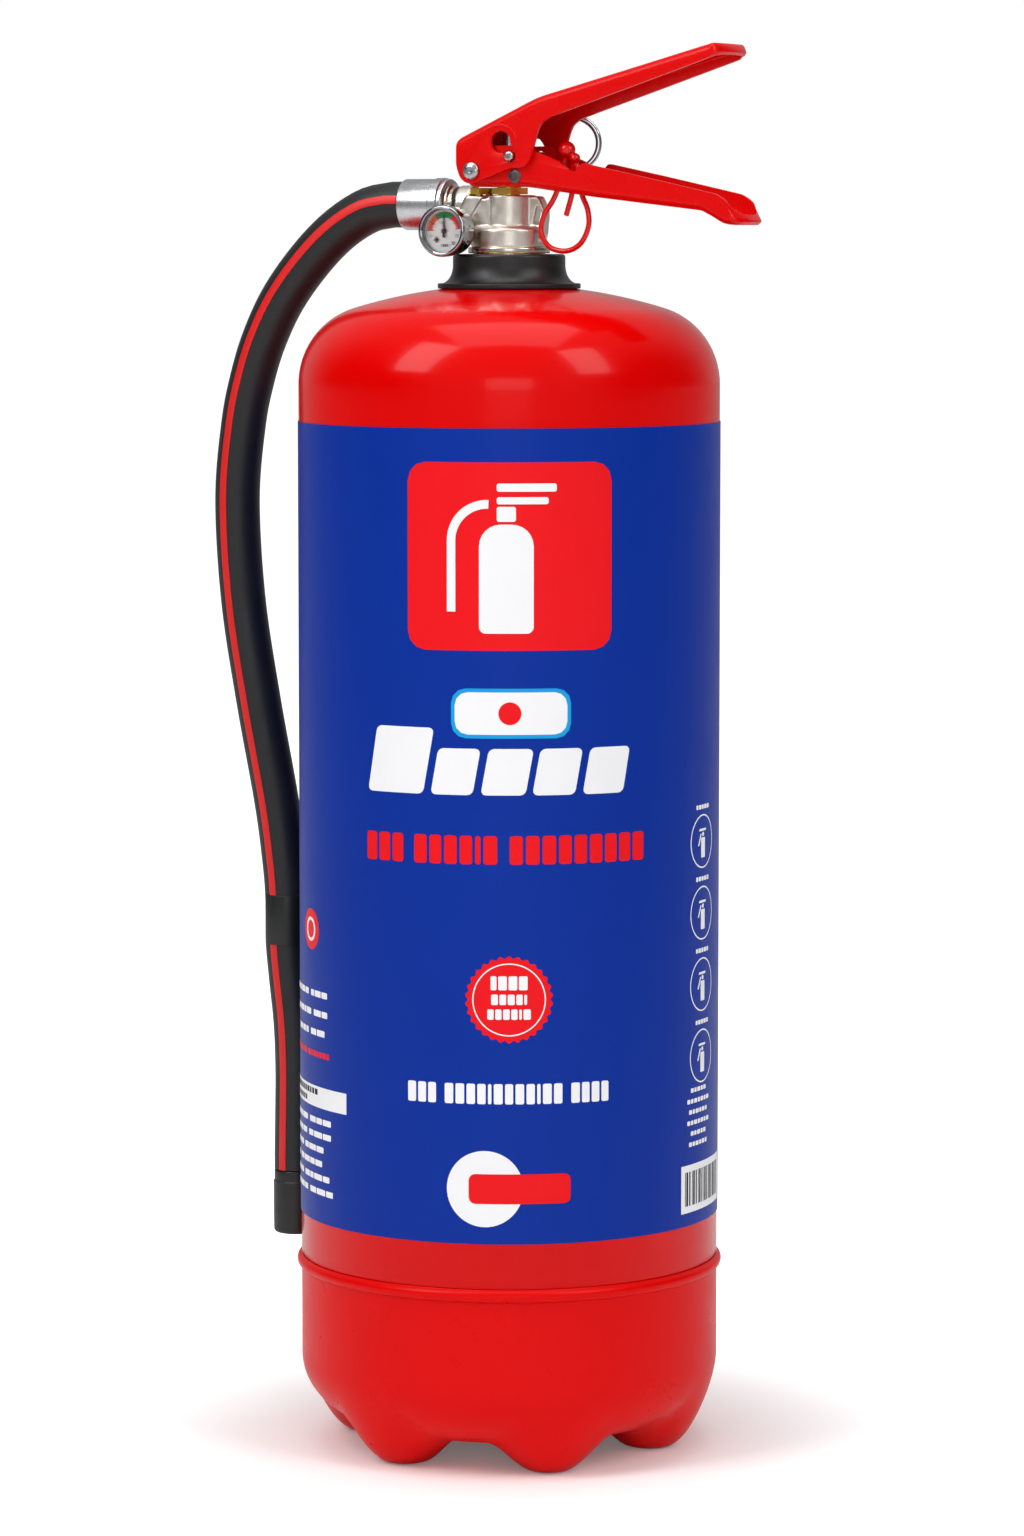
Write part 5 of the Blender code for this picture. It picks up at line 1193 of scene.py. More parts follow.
def make_collar():
    """The black skirt round the neck: a lip, a hollow flare and a soft top edge."""
    _, low, high = size_of("neck_collar")
    flange = (high.x - low.x) / 2.0 - 0.5 * MM
    top_radius = 21.3 * MM
    bore = 18.2 * MM
    lip = 2.0 * MM
    flange_z = crown_height(flange) + 0.3 * MM
    edge = 0.5 * MM
    profile = [(bore, crown_height(bore) + 0.5 * MM)]
    profile += arc((flange - edge, flange_z + edge), edge, -math.pi / 2.0, 0.0, 5)
    profile += arc((flange - edge, flange_z + lip - edge), edge, 0.0, math.pi / 2.0, 5)
    flare = (flange - 1.0 * MM - top_radius) * 0.95
    rise = high.z - 4.0 * MM - flange_z - lip
    for step in range(1, 21):
        turn = math.pi / 2.0 * step / 20.0
        radius = top_radius + flare * (1.0 - math.sin(turn))
        profile.append((radius, flange_z + lip + rise * (1.0 - math.cos(turn))))
    top = 1.2 * MM
    profile += arc((top_radius - top, high.z - top), top, 0.0, math.pi / 2.0, 8)
    profile.append((bore, high.z))
    collar = turned("neck_skirt", profile, 128, place=AXIS)
    return finish(smooth(collar), "nylon", "extinguisher", "black_plastic", "neck_collar")


def make_valve():
    """The forged valve body, whose parts run into each other with blended corners."""
    join = {"operation": "UNION", "solver": "MANIFOLD"}
    barrel_radius = 14.2 * MM
    shoulder = 1.1 * MM
    boss_radius = 9.9 * MM
    barrel_low = VALVE_BARREL_Z - 0.2 * MM
    barrel = [(0.0, barrel_low), (barrel_radius, barrel_low)]
    barrel += [(barrel_radius, VALVE_BOSS_Z - shoulder), (barrel_radius - shoulder, VALVE_BOSS_Z)]
    barrel += [(boss_radius, VALVE_BOSS_Z), (boss_radius, VALVE_TOP_Z), (0.0, VALVE_TOP_Z)]
    body = turned("valve_forging", barrel, 72, closed=False)
    housing = [
        (OUTLET_FACE_X + 3.4 * MM, VALVE_BARREL_Z + 1.2 * MM, 2.0 * MM),
        (0.0, VALVE_BARREL_Z + 1.2 * MM),
        (0.0, VALVE_TOP_Z - 0.3 * MM),
        (OUTLET_FACE_X + 5.4 * MM, VALVE_TOP_Z - 0.3 * MM, 1.2 * MM),
        (OUTLET_FACE_X + 3.4 * MM, VALVE_TOP_Z - 5.0 * MM, 1.2 * MM),
    ]
    housing_half = 8.2 * MM
    combine(body, side_block("housing", rounded(housing), -housing_half, housing_half), **join)
    outlet = (OUTLET_FACE_X, 0.0, OUTLET_Z)
    outlet_radius = 7.2 * MM
    combine(body, rod(outlet_radius, 0.0, 6.0 * MM, outlet, SIDEWAYS), **join)
    lug = (GAUGE_X, 0.0, GAUGE_Z)
    lug_radius = 4.9 * MM
    combine(body, rod(lug_radius, GAUGE_LUG_Y, 3.0 * MM, lug, BACKWARD), **join)
    ear = [
        (6.0 * MM, VALVE_BARREL_Z + 2.0 * MM),
        (15.0 * MM, VALVE_BARREL_Z + 2.0 * MM, 3.0 * MM),
        (16.1 * MM, VALVE_BOSS_Z + 6.0 * MM, 4.0 * MM),
        (13.5 * MM, VALVE_TOP_Z - 0.4 * MM, 1.5 * MM),
        (6.0 * MM, VALVE_TOP_Z - 0.4 * MM),
    ]
    ear_half = 2.9 * MM
    combine(body, side_block("ear", rounded(ear), -ear_half, ear_half), **join)
    window = [
        (11.2 * MM, VALVE_BOSS_Z + 0.8 * MM, 0.8 * MM),
        (14.2 * MM, VALVE_BOSS_Z + 1.2 * MM, 1.1 * MM),
        (14.8 * MM, VALVE_BOSS_Z + 5.8 * MM, 1.1 * MM),
        (13.0 * MM, VALVE_BOSS_Z + 8.6 * MM, 0.5 * MM),
    ]
    window_reach = 6.0 * MM
    combine(body, side_block("ear_window", rounded(window), -window_reach, window_reach))
    rib = [
        (-12.4 * MM, VALVE_BOSS_Z - 1.0 * MM),
        (-4.0 * MM, VALVE_BOSS_Z - 1.0 * MM),
        (-4.0 * MM, VALVE_TOP_Z - 1.2 * MM),
        (-7.0 * MM, VALVE_TOP_Z - 1.2 * MM, 0.8 * MM),
        (-12.4 * MM, VALVE_BOSS_Z + 3.4 * MM, 0.8 * MM),
    ]
    rib_half = 9.4 * MM
    combine(body, side_block("rib", rounded(rib), -rib_half, rib_half), **join)
    # The stem's passage, the spring's room, the gland's thread, the outlet and the gauge's port.
    bores = (
        (3.4 * MM, SEAT_Z - 9.0 * MM, VALVE_TOP_Z + 2.0 * MM),
        (VALVE_BORE, VALVE_BARREL_Z - 5.0 * MM, SEAT_Z),
        (4.5 * MM, SEAT_Z + 5.0 * MM, VALVE_TOP_Z + 1.0 * MM),
        (5.0 * MM, -1.0 * MM, 5.4 * MM, outlet, SIDEWAYS),
        (3.3 * MM, GAUGE_LUG_Y - 1.0 * MM, GAUGE_LUG_Y + 5.0 * MM, lug, BACKWARD),
    )
    for bore in bores:
        combine(body, rod(*bore), solver="MANIFOLD")
    to_axis(body)
    blended(body, 0.42 * MM, 6)
    finish(body, "forging", "extinguisher", "nickel_brass", "valve_body")


def make_flange():
    """The machined flange of the valve and its neck, which screws into the vessel."""
    neck = 13.7 * MM
    edge = 15.5 * MM
    chamfer = 0.8 * MM
    under = 0.4 * MM
    upper = 0.6 * MM
    low = VALVE_NECK_LOW_Z
    profile = [(VALVE_BORE, low), (neck - chamfer, low), (neck, low + chamfer), (neck, VALVE_FLANGE_Z)]
    profile += arc((edge - under, VALVE_FLANGE_Z + under), under, -math.pi / 2.0, 0.0, 4)
    profile += arc((edge - upper, VALVE_BARREL_Z - upper), upper, 0.0, math.pi / 2.0, 5)
    profile.append((VALVE_BORE, VALVE_BARREL_Z))
    flange = turned("valve_flange", profile, 128, place=AXIS)
    finish(smooth(flange), "flange", "extinguisher", "nickel_brass")


# ---------------------------------------------------------------- lever and handle

SHEET = 1.6 * MM
PIVOT = (-0.0085, 0.4872)
PIVOT_RADIUS = 0.0024
PIN = (0.0076, 0.4926)
PIN_RADIUS = 0.0019
PIN_CLEARANCE = 0.00035
LEVER_TRAVEL = math.radians(18.0)
LEVER_HALF_WIDTH = 0.0150
LEVER_CORNER = 0.0026
HANDLE_HALF_WIDTH = 0.0127
HANDLE_CORNER = 0.0030
HANDLE_TIP_X = 0.1013
LEVER_NOSE_DEPTH = 0.0045
HANDLE_NOSE_DEPTH = 0.0048
NOSE_INSET = 0.0005
HANDLE_FLOOR_Z = 0.4812
HANDLE_CREST_Z = PIN[1] + 0.0040
RIVET = (0.0085, 0.4852)
WINDOW = (0.0037, 0.4979)
WINDOW_RADIUS = 0.0041
PRESS_EDGE = 0.32 * MM

# Side outlines of the two pressed channels, as (x, z) points on their outer faces.
LEVER_TOP = [
    (-0.0150, 0.4984),
    (-0.0145, 0.4992),
    (-0.0133, 0.4999),
    (0.0150, 0.5130),
    (0.0176, 0.5141),
    (0.0205, 0.5151),
    (0.0560, 0.5246),
    (0.0860, 0.5327),
    (0.0900, 0.5337),
    (0.0920, 0.5335),
    (0.0932, 0.5326),
    (0.0940, 0.5309),
]
LEVER_BOTTOM = [
    (-0.0150, 0.4900),
    (-0.0142, 0.4862),
    (-0.0126, 0.4838),
    (-0.0106, 0.4826),
    (-0.0086, 0.4824),
    (-0.0060, 0.4832),
    (0.0077, 0.4883),
    (0.0122, 0.4883),
    (0.0140, 0.4889),
    (0.0158, 0.4914),
    (0.0172, 0.4959),
    (0.0186, 0.5010),
    (0.0200, 0.5043),
    (0.0235, 0.5068),
    (0.0317, 0.5095),
    (0.0560, 0.5174),
    (0.0880, 0.5279),
    (0.0922, 0.5293),
    (0.0940, 0.5303),
]
HANDLE_TOP = [
    (-0.0128, 0.4900),
    (-0.0100, 0.4930),
    (-0.0040, HANDLE_CREST_Z),
    (0.0120, HANDLE_CREST_Z),
    (0.0160, 0.4948),
    (0.0264, 0.4907),
    (0.0296, 0.4884),
    (0.0312, 0.4872),
    (0.0330, 0.4869),
    (0.0344, 0.4874),
    (0.0352, 0.4892),
    (0.0364, 0.4899),
    (0.0600, 0.4850),
    (0.0907, 0.4783),
    (0.0937, 0.4766),
    (0.0968, 0.4738),
    (0.0998, 0.4706),
    (HANDLE_TIP_X, 0.4687),
]
HANDLE_BOTTOM = [
    (-0.0128, 0.4838),
    (-0.0114, HANDLE_FLOOR_Z + 0.0006),
    (-0.0100, HANDLE_FLOOR_Z),
    (0.0113, HANDLE_FLOOR_Z),
    (0.0150, HANDLE_FLOOR_Z - 0.0004),
    (0.0401, 0.4773),
    (0.0780, 0.4729),
    (0.0841, 0.4722),
    (0.0880, 0.4703),
    (0.0925, 0.4677),
    (0.0945, 0.4671),
    (0.0995, 0.4668),
    (HANDLE_TIP_X, 0.4680),
]


def height_at(outline, x):
    return float(np.interp(x, [point[0] for point in outline], [point[1] for point in outline]))


def eased(outline, x, window=0.8 * MM):
    """An outline's height with its corners eased over the window, exact at its two ends."""
    reach = min(window, x - outline[0][0], outline[-1][0] - x)
    if reach <= 0.0:
        return height_at(outline, x)
    return float(np.mean([height_at(outline, x + step) for step in np.linspace(-reach, reach, 7)]))


def stations(top, bottom, fine=0.9 * MM):
    """Places along a channel: its outlines' corners, with the gaps between them filled."""
    corners = sorted({round(point[0], 6) for point in top + bottom})
    places = []
    for low, high in zip(corners, corners[1:]):
        count = max(1, math.ceil((high - low) / fine))
        places += [low + (high - low) * step / count for step in range(count)]
    return places + [corners[-1]]


def channel(name, top, bottom, half_width, corner, web, nose_depth):
    """The outer or inner block of a pressed channel. The web's long edges are rounded by the
    corner radius, and the nose is rounded in plan over the nose depth."""
    nose = top[-1][0]
    places = stations(top, bottom)
    turns = [math.pi / 2.0 * step / 7.0 for step in range(8)]
    half = [(half_width - corner * (1.0 - math.cos(a)), corner * (1.0 - math.sin(a))) for a in turns]
    inner = half[-1][0] - 0.3 * MM
    half += [(half_width * s, 0.0) for s in (0.72, 0.58, 0.43, 0.29, 0.14, 0.0) if half_width * s < inner]
    slices = [(-y, inset) for y, inset in half] + [(y, inset) for y, inset in reversed(half[:-1])]
    bend_from = nose - nose_depth - 1.0 * MM
    loops = []
    for y, inset in slices:
        reach = nose_depth * (1.0 - math.sqrt(max(0.0, 1.0 - (y / (half_width * 1.01)) ** 2)))
        stretch = (nose - reach - bend_from) / (nose - bend_from)
        upper = []
        lower = []
        for x in places:
            at = bend_from + (x - bend_from) * stretch if x > bend_from else x
            high = eased(top, x) - (inset if web == "top" else 0.0)
            low = eased(bottom, x) + (inset if web == "bottom" else 0.0)
            if high - low < 0.2 * MM:
                middle = (high + low) / 2.0
                high = middle + 0.1 * MM
                low = middle - 0.1 * MM
            upper.append(Vector((at, y, high)))
            lower.append(Vector((at, y, low)))
        loops.append(upper + lower[::-1] + upper[:1])
    around = len(loops[0]) - 1
    across = len(loops) - 1

    def place(u, v):
        return loops[int(round(v * across))][int(round(u * around))]

    return shaped_grid(name, around, across, place)


def offset_face(outline, direction):
    """The web's other face: each point moved by the sheet's thickness across the slope."""
    points = []
    for x, z in outline:
        slope = (height_at(outline, x + 3.0 * MM) - height_at(outline, x - 3.0 * MM)) / (6.0 * MM)
        points.append((x, z + direction * SHEET * math.hypot(1.0, slope)))
    return points


def trimmed(outline, back, nose):
    """The outline between the sheet's inner faces at the back and the nose."""
    middle = [point for point in outline if back < point[0] < nose]
    return [(back, height_at(outline, back))] + middle + [(nose, height_at(outline, nose))]


def cross_hole(radius, at, reach):
    return rod(radius, -reach, reach, (at[0], 0.0, at[1]), BACKWARD)


def pin_slot(radius, reach):
    """The safety pin's path as the lever turns about its pivot, seen from the lever."""
    offset = Vector(PIN) - Vector(PIVOT)
    arm = offset.length
    first = math.atan2(offset.y, offset.x)
    last = first + LEVER_TRAVEL
    begin = arc(PIVOT, arm, first, first, 1)[0]
    end = arc(PIVOT, arm, last, last, 1)[0]
    outline = arc(begin, radius, first + math.pi, first + TURN, 14)
    outline += arc(PIVOT, arm + radius, first, last, 8)[1:-1]
    outline += arc(end, radius, last, last + math.pi, 14)
    outline += arc(PIVOT, arm - radius, last, first, 8)[1:-1]
    return side_block("pin_slot", outline, -reach, reach)


def make_lever():
    """The squeeze lever: a pressed and painted channel with a window and a raised bead."""
    sizes = (LEVER_HALF_WIDTH, LEVER_CORNER, "top", LEVER_NOSE_DEPTH)
    lever = channel("trigger_lever", LEVER_TOP, LEVER_BOTTOM, *sizes)
    back = LEVER_TOP[0][0] + SHEET
    nose = LEVER_TOP[-1][0] - SHEET
    top = trimmed(offset_face(LEVER_TOP, -1.0), back, nose)
    low = min(point[1] for point in LEVER_BOTTOM) - 10.0 * MM
    inner_width = LEVER_HALF_WIDTH - SHEET
    sizes = (inner_width, LEVER_CORNER - SHEET, "top", LEVER_NOSE_DEPTH - NOSE_INSET)
    combine(lever, channel("inside", top, [(back, low), (nose, low)], *sizes))
    shelf = PIVOT[1] + 4.3 * MM
    rear = [(back - 10.0 * MM, low), (back + 2.0 * MM, low), (back + 2.0 * MM, shelf)]
    rear.append((back - 10.0 * MM, shelf))
    combine(lever, side_block("rear_opening", rear, -inner_width, inner_width))
    reach = LEVER_HALF_WIDTH + 5.0 * MM
    combine(lever, cross_hole(PIVOT_RADIUS + PIN_CLEARANCE, PIVOT, reach))
    # The window goes through the near wall only, and the far wall shows behind it.
    combine(lever, rod(WINDOW_RADIUS, -reach, 0.0, (WINDOW[0], 0.0, WINDOW[1]), BACKWARD))
    combine(lever, pin_slot(PIN_RADIUS + PIN_CLEARANCE, reach))
    bevelled(lever, PRESS_EDGE)
    beads = []
    for side in (-1.0, 1.0):
        y = side * (LEVER_HALF_WIDTH - 0.15 * MM)
        path = arc(WINDOW, 6.3 * MM, -math.radians(52.0), math.radians(118.0), 40)
        beads.append(tube_mesh("bead", [(x, y, z) for x, z in path], 0.42 * MM, 4))
    lever = joined("trigger_lever", [lever, *beads])
    to_axis(lever)
    return finish(smooth(lever), "powder", "lever", "red_sheet_enamel", "squeeze_lever")


def make_handle():
    """The carry handle: an upright pressed channel clamped on the valve."""
    sizes = (HANDLE_HALF_WIDTH, HANDLE_CORNER, "bottom", HANDLE_NOSE_DEPTH)
    handle = channel("carrying_grip", HANDLE_TOP, HANDLE_BOTTOM, *sizes)
    back = HANDLE_BOTTOM[0][0] - 2.0 * MM
    nose = HANDLE_BOTTOM[-1][0] - SHEET
    level = HANDLE_FLOOR_Z + SHEET
    floor = [(x, max(z, level) if x < 0.0 else z) for x, z in offset_face(HANDLE_BOTTOM, 1.0)]
    floor = [(x, min(z, level)) if x < 0.0 else (x, z) for x, z in floor]
    bottom = [(back, level)] + trimmed(floor, HANDLE_BOTTOM[0][0], nose)
    high = max(point[1] for point in HANDLE_TOP) + 10.0 * MM
    inner_width = HANDLE_HALF_WIDTH - SHEET
    depth = HANDLE_NOSE_DEPTH - NOSE_INSET
    sizes = (inner_width, HANDLE_CORNER - SHEET, "bottom", depth)
    combine(handle, channel("inside", [(back, high), (nose, high)], bottom, *sizes))
    reach = HANDLE_HALF_WIDTH + 5.0 * MM
    combine(handle, cross_hole(PIVOT_RADIUS + 0.1 * MM, PIVOT, reach))
    combine(handle, cross_hole(PIN_RADIUS + PIN_CLEARANCE, PIN, reach))
    low = HANDLE_FLOOR_Z - 3.0 * MM
    combine(handle, rod(4.9 * MM, low, low + 8.0 * MM))
    slot = [(21.2 * MM, low - 5.0 * MM), (34.8 * MM, low - 5.0 * MM)]
    slot += [(34.8 * MM, low + 8.0 * MM), (21.2 * MM, low + 8.0 * MM)]
    combine(handle, side_block("seal_slot", slot, -7.5 * MM, -2.5 * MM))
    for side in (-1.0, 1.0):
        place = (RIVET[0], side * HANDLE_HALF_WIDTH, RIVET[1])
        combine(handle, rod(1.5 * MM, -4.0 * MM, 4.0 * MM, place, BACKWARD))
    bevelled(handle, PRESS_EDGE)
    to_axis(handle)
    return finish(smooth(handle), "powder", "extinguisher", "red_sheet_enamel", "carry_handle")


# ---------------------------------------------------------------- pins, ring and seal

EYE = (0.0076, 0.0205, 0.4926)
RING_RADIUS = 0.0099
RING_YAW = math.radians(26.0)
RING_LIFT = math.radians(32.0)
RING_START = math.radians(70.0)
RING_STEP_SLOPE = 14.0
SEAL_Y = -0.0050
SEAL_BALL = (0.0266, SEAL_Y, 0.4950)
SEAL_NUB = (0.0299, SEAL_Y, 0.4918)
SEAL_LOOP = [
    (0.0296, SEAL_Y, 0.4915),
    (0.0318, SEAL_Y, 0.4850),
    (0.0328, SEAL_Y, 0.4783),
    (0.0352, SEAL_Y, 0.4725),
    (0.0355, SEAL_Y, 0.4663),
    (0.0322, SEAL_Y, 0.4600),
    (0.0262, SEAL_Y, 0.4572),
    (0.0192, SEAL_Y, 0.4588),
    (0.0158, SEAL_Y, 0.4645),
    (0.0172, SEAL_Y, 0.4708),
    (0.0208, SEAL_Y, 0.4762),
    (0.0232, SEAL_Y, 0.4815),
    (0.0250, SEAL_Y, 0.4880),
    (0.0266, SEAL_Y, 0.4950),
]
SEAL_TAIL = [
    (0.0299, SEAL_Y + 0.0002, 0.4918),
    (0.0289, SEAL_Y + 0.0004, 0.4860),
    (0.0285, SEAL_Y + 0.0004, 0.4790),
    (0.0272, SEAL_Y, 0.4735),
    (0.0262, SEAL_Y, 0.4704),
]


def domed_head(at, side, radius, height, face):
    """A riveted head on a cross pin: a low dome with a dimple in its middle."""
    rim = 0.30 * height
    profile = [(0.0, 0.0), (radius, 0.0), (radius, rim)]
    for turn in np.linspace(0.15, 1.15, 9):
        profile.append((radius * math.cos(turn), rim + (height - rim) * math.sin(turn)))
    profile += [(radius * 0.22, height * 0.86), (0.0, height * 0.80)]
    place = (at[0], side * face, at[1])
    return turned("head", profile, 48, closed=False, place=place, along=(0.0, side, 0.0))


def make_pins():
    """The pivot pin, the cross rivets and the safety pin."""
    face = LEVER_HALF_WIDTH + 0.3 * MM
    parts = [cross_hole(PIVOT_RADIUS, PIVOT, face)]
    parts += [domed_head(PIVOT, side, 3.2 * MM, 1.5 * MM, face) for side in (-1.0, 1.0)]
    pivot = to_axis(joined("pivot_rivet", parts))
    finish(smooth(pivot), "zinc", "extinguisher", "steel", "pivot_pin")
    for name, side in (("front", -1.0), ("back", 1.0)):
        head = domed_head(RIVET, side, 2.6 * MM, 0.5 * MM, HANDLE_HALF_WIDTH + 0.05 * MM)
        place = (RIVET[0], side * HANDLE_HALF_WIDTH, RIVET[1])
        stem = rod(1.4 * MM, -2.4 * MM, 0.3 * MM, place, (0.0, side, 0.0))
        rivet = to_axis(joined("cross_rivet_" + name, [head, stem]))
        finish(smooth(rivet), "burnished", "extinguisher", "steel", "handle_rivet_" + name)
    tip = -LEVER_HALF_WIDTH - 1.9 * MM
    end = EYE[1] - 3.2 * MM
    nose = 0.9 * MM
    profile = [(0.0, tip)]
    profile += arc((PIN_RADIUS - nose, tip + nose), nose, -math.pi / 2.0, 0.0, 7)
    profile += [(PIN_RADIUS, end), (0.0, end)]
    shank = turned("pin_rod", profile, 48, closed=False, place=(PIN[0], 0.0, PIN[1]), along=BACKWARD)
    eye = turned("pin_eye", arc((2.7 * MM, 0.0), 1.1 * MM, 0.0, TURN, 14)[:-1], 48)
    move(eye, Matrix.Translation(EYE) @ Matrix.Rotation(-RING_LIFT, 4, "Y"))
    pin = to_axis(joined("lock_pin", [shank, eye]))
    finish(smooth(pin), "zinc", "pin", "steel", "safety_pin")


def make_ring(sizes):
    """The split ring: two turns of flattened hard wire lying side by side."""
    out = Vector((math.cos(RING_YAW), math.sin(RING_YAW), 0.0))
    spoke = (out * math.cos(RING_LIFT) + Vector((0.0, 0.0, math.sin(RING_LIFT)))).normalized()
    normal = out.cross(Vector(UP)).normalized()
    across = normal.cross(spoke)
    centre = AXIS + Vector(EYE) + spoke * RING_RADIUS
    half = sizes.ring_wire / 2.0
    points = []
    for share in np.linspace(0.0, 1.0, 161):
        turn = 2.0 * TURN * share + RING_START
        # The wire steps over to its second turn in a short stretch after the first.
        side = min(1.0, max(-1.0, (share - 0.5) * RING_STEP_SLOPE))
        flat = (RING_RADIUS * math.cos(turn), RING_RADIUS * math.sin(turn), side * half * 1.02)
        points.append(flat)
    ring = tube_mesh("split_ring", points, half, 5)
    # The wire is half as thick along the ring's axis as it is broad.
    turned_to = Matrix((spoke, across, normal)).transposed().to_4x4()
    flatten = Matrix.Diagonal((1.0, 1.0, 0.5, 1.0))
    move(ring, Matrix.Translation(centre) @ turned_to @ flatten)
    finish(smooth(ring, math.radians(60.0)), "chrome", "ring", "chrome", "pull_ring")


def ball(at, radius):
    select_none()
    bpy.ops.mesh.primitive_uv_sphere_add(segments=32, ring_count=20, radius=radius)
    return move(bpy.context.object, Matrix.Translation(at))


def make_seal():
    """The tamper seal: a moulded lock bead with its loop and its cut tail."""
    strand = 1.05 * MM
    parts = [
        tube_mesh("strand", smooth_path(SEAL_LOOP, 90), strand, 5),
        tube_mesh("tail", smooth_path(SEAL_TAIL, 24), strand, 5),
        ball(SEAL_BALL, 3.2 * MM),
        ball(SEAL_NUB, 2.0 * MM),
    ]
    seal = to_axis(joined("lock_seal", parts))
    blended(seal, 0.24 * MM, 4)
    finish(seal, "seal", "extinguisher", "red_plastic", "tamper_seal")


# ---------------------------------------------------------------- gauge

GAUGE_RADIUS = 0.0097
GAUGE_FRONT_Y = -0.0257
GAUGE_BACK_Y = -0.0127
GAUGE_PLACE = (AXIS_X + GAUGE_X, 0.0, GAUGE_Z)
DIAL_RADIUS = 0.0082
DIAL_FACE_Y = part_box("gauge_dial")[0].y
PATCH = 0.02 * MM


def dial_patch(name, outline, layer):
    """A flat printed patch on the dial, from (x, z) millimetres about its middle."""
    face = DIAL_FACE_Y - layer * PATCH
    shape = [(GAUGE_PLACE[0] + x * MM, face, GAUGE_Z + z * MM) for x, z in outline]
    return extruded(name, shape, (0.0, PATCH, 0.0))


def dial_band(name, first, last, material):
    """A coloured arc of the dial, between two angles from the right, in degrees."""
    outline = arc((0.0, 0.0), 7.3, math.radians(first), math.radians(last), 16)
    outline += arc((0.0, 0.0), 5.0, math.radians(last), math.radians(first), 16)
    finish(dial_patch(name, outline, 2), material, "extinguisher", "dial_white")


def dial_number(text, x, z):
    """A plain number on the dial."""
    select_none()
    bpy.ops.object.text_add()
    bpy.context.object.data.body = text
    bpy.context.object.data.size = 1.7 * MM
    bpy.context.object.data.extrude = 0.01 * MM
    bpy.context.object.data.align_x = "CENTER"
    only(bpy.context.object)
    bpy.ops.object.convert(target="MESH")
    label = bpy.context.object
    label.name = "dial_number_" + text
    edit(label)
    tidy_mesh()
    leave_edit()
    place = Matrix.Translation((GAUGE_PLACE[0] + x * MM, DIAL_FACE_Y - 2.0 * PATCH, GAUGE_Z + z * MM))
    move(label, place @ Matrix.Rotation(math.pi / 2.0, 4, "X"))
    finish(label, "dial_black", "extinguisher", "dial_white")


def make_dial():
    """The dial card with its coloured bands, ticks and plain numbers."""
    _, low, high = size_of("gauge_dial")
    hole = 0.8 * MM
    profile = [(hole, low.y), (DIAL_RADIUS, low.y), (DIAL_RADIUS, high.y), (hole, high.y)]
    dial = turned("dial_card", profile, 96, place=GAUGE_PLACE, along=BACKWARD)
    finish(smooth(dial), "dial", "extinguisher", "dial_white", "gauge_dial")
    dial_band("dial_band_low", 122.0, 178.0, "dial_orange")
    dial_band("dial_band_good", 62.0, 120.0, "dial_green")
    dial_band("dial_band_high", 8.0, 60.0, "dial_red")
    marks = []
    for angle in (178.0, 150.0, 121.0, 90.0, 61.0, 34.0, 8.0):
        turn = math.radians(angle)
        ahead = Vector((math.cos(turn), math.sin(turn)))
        side = Vector((-ahead.y, ahead.x)) * 0.10
        corners = [ahead * 4.5 - side, ahead * 7.6 - side, ahead * 7.6 + side, ahead * 4.5 + side]
        marks.append(dial_patch("tick", corners, 4))
    outlines = [[(-4.6, -3.4), (-3.2, -4.7), (-2.2, -3.2), (-3.4, -1.9)]]
    outlines += [[(x, -5.9), (x + 0.5, -5.9), (x + 0.5, -4.9), (x, -4.9)] for x in (-1.3, -0.5, 0.3, 1.1)]
    outlines += [[(x, -5.2), (x + 0.4, -5.2), (x + 0.4, -3.9), (x, -3.9)] for x in (3.1, 3.8)]
    marks += [dial_patch("mark", outline, 4) for outline in outlines]
    finish(joined("dial_print", marks), "dial_black", "extinguisher", "dial_white")
    dial_number("0", -5.6, -2.4)
    dial_number("15", -1.6, 2.6)
    dial_number("25", 5.2, -2.4)


def make_gauge():
    """The gauge's case, its rim and its window."""
    case_radius = GAUGE_RADIUS - 0.6 * MM
    front, back = GAUGE_FRONT_Y, GAUGE_BACK_Y
    case_front = front + 1.8 * MM
    wall = 0.7 * MM
    stud = 3.2 * MM
    corner = 3.6 * MM
    case = [(stud, back), (case_radius - corner, back)]
    for turn in np.linspace(0.15, math.pi / 2.0, 12):
        radius = case_radius - corner * (1.0 - math.sin(turn))
        case.append((radius, back - corner * (1.0 - math.cos(turn))))
    case += [(case_radius, case_front), (case_radius - wall, case_front)]
    case += [(case_radius - wall, back - corner - 0.3 * MM), (case_radius - corner - wall, back - wall)]
    case.append((stud, back - wall))
    shell = turned("gauge_shell", case, 96, place=GAUGE_PLACE, along=BACKWARD)
    finish(smooth(shell), "chrome", "extinguisher", "chrome", "gauge_case")
    inside = case_radius + 0.1 * MM
    opening = GAUGE_RADIUS - 1.5 * MM
    lens_front = case_front - 0.8 * MM
    lip = 0.9 * MM
    skirt = case_front + 2.6 * MM
    bezel = [(inside, skirt), (GAUGE_RADIUS - 0.2 * MM, skirt), (GAUGE_RADIUS, skirt - 0.2 * MM)]
    bezel += arc((GAUGE_RADIUS - lip, front + lip), lip, 0.0, -math.pi * 0.7, 14)
    bezel += [(opening, lens_front - 0.1 * MM), (inside, lens_front - 0.1 * MM)]
    rim = turned("gauge_rim", bezel, 96, place=GAUGE_PLACE, along=BACKWARD)
    finish(smooth(rim), "chrome", "extinguisher", "chrome", "gauge_bezel")
    glass_radius = case_radius - 0.2 * MM
    glass = [(0.0, lens_front + 0.05 * MM), (glass_radius, lens_front + 0.12 * MM)]
    glass += [(glass_radius, lens_front + 0.6 * MM), (0.0, lens_front + 0.6 * MM)]
    window = turned("gauge_window", glass, 96, closed=False, place=GAUGE_PLACE, along=BACKWARD)
    finish(smooth(window), "lens", "extinguisher", "clear_plastic", "gauge_lens")


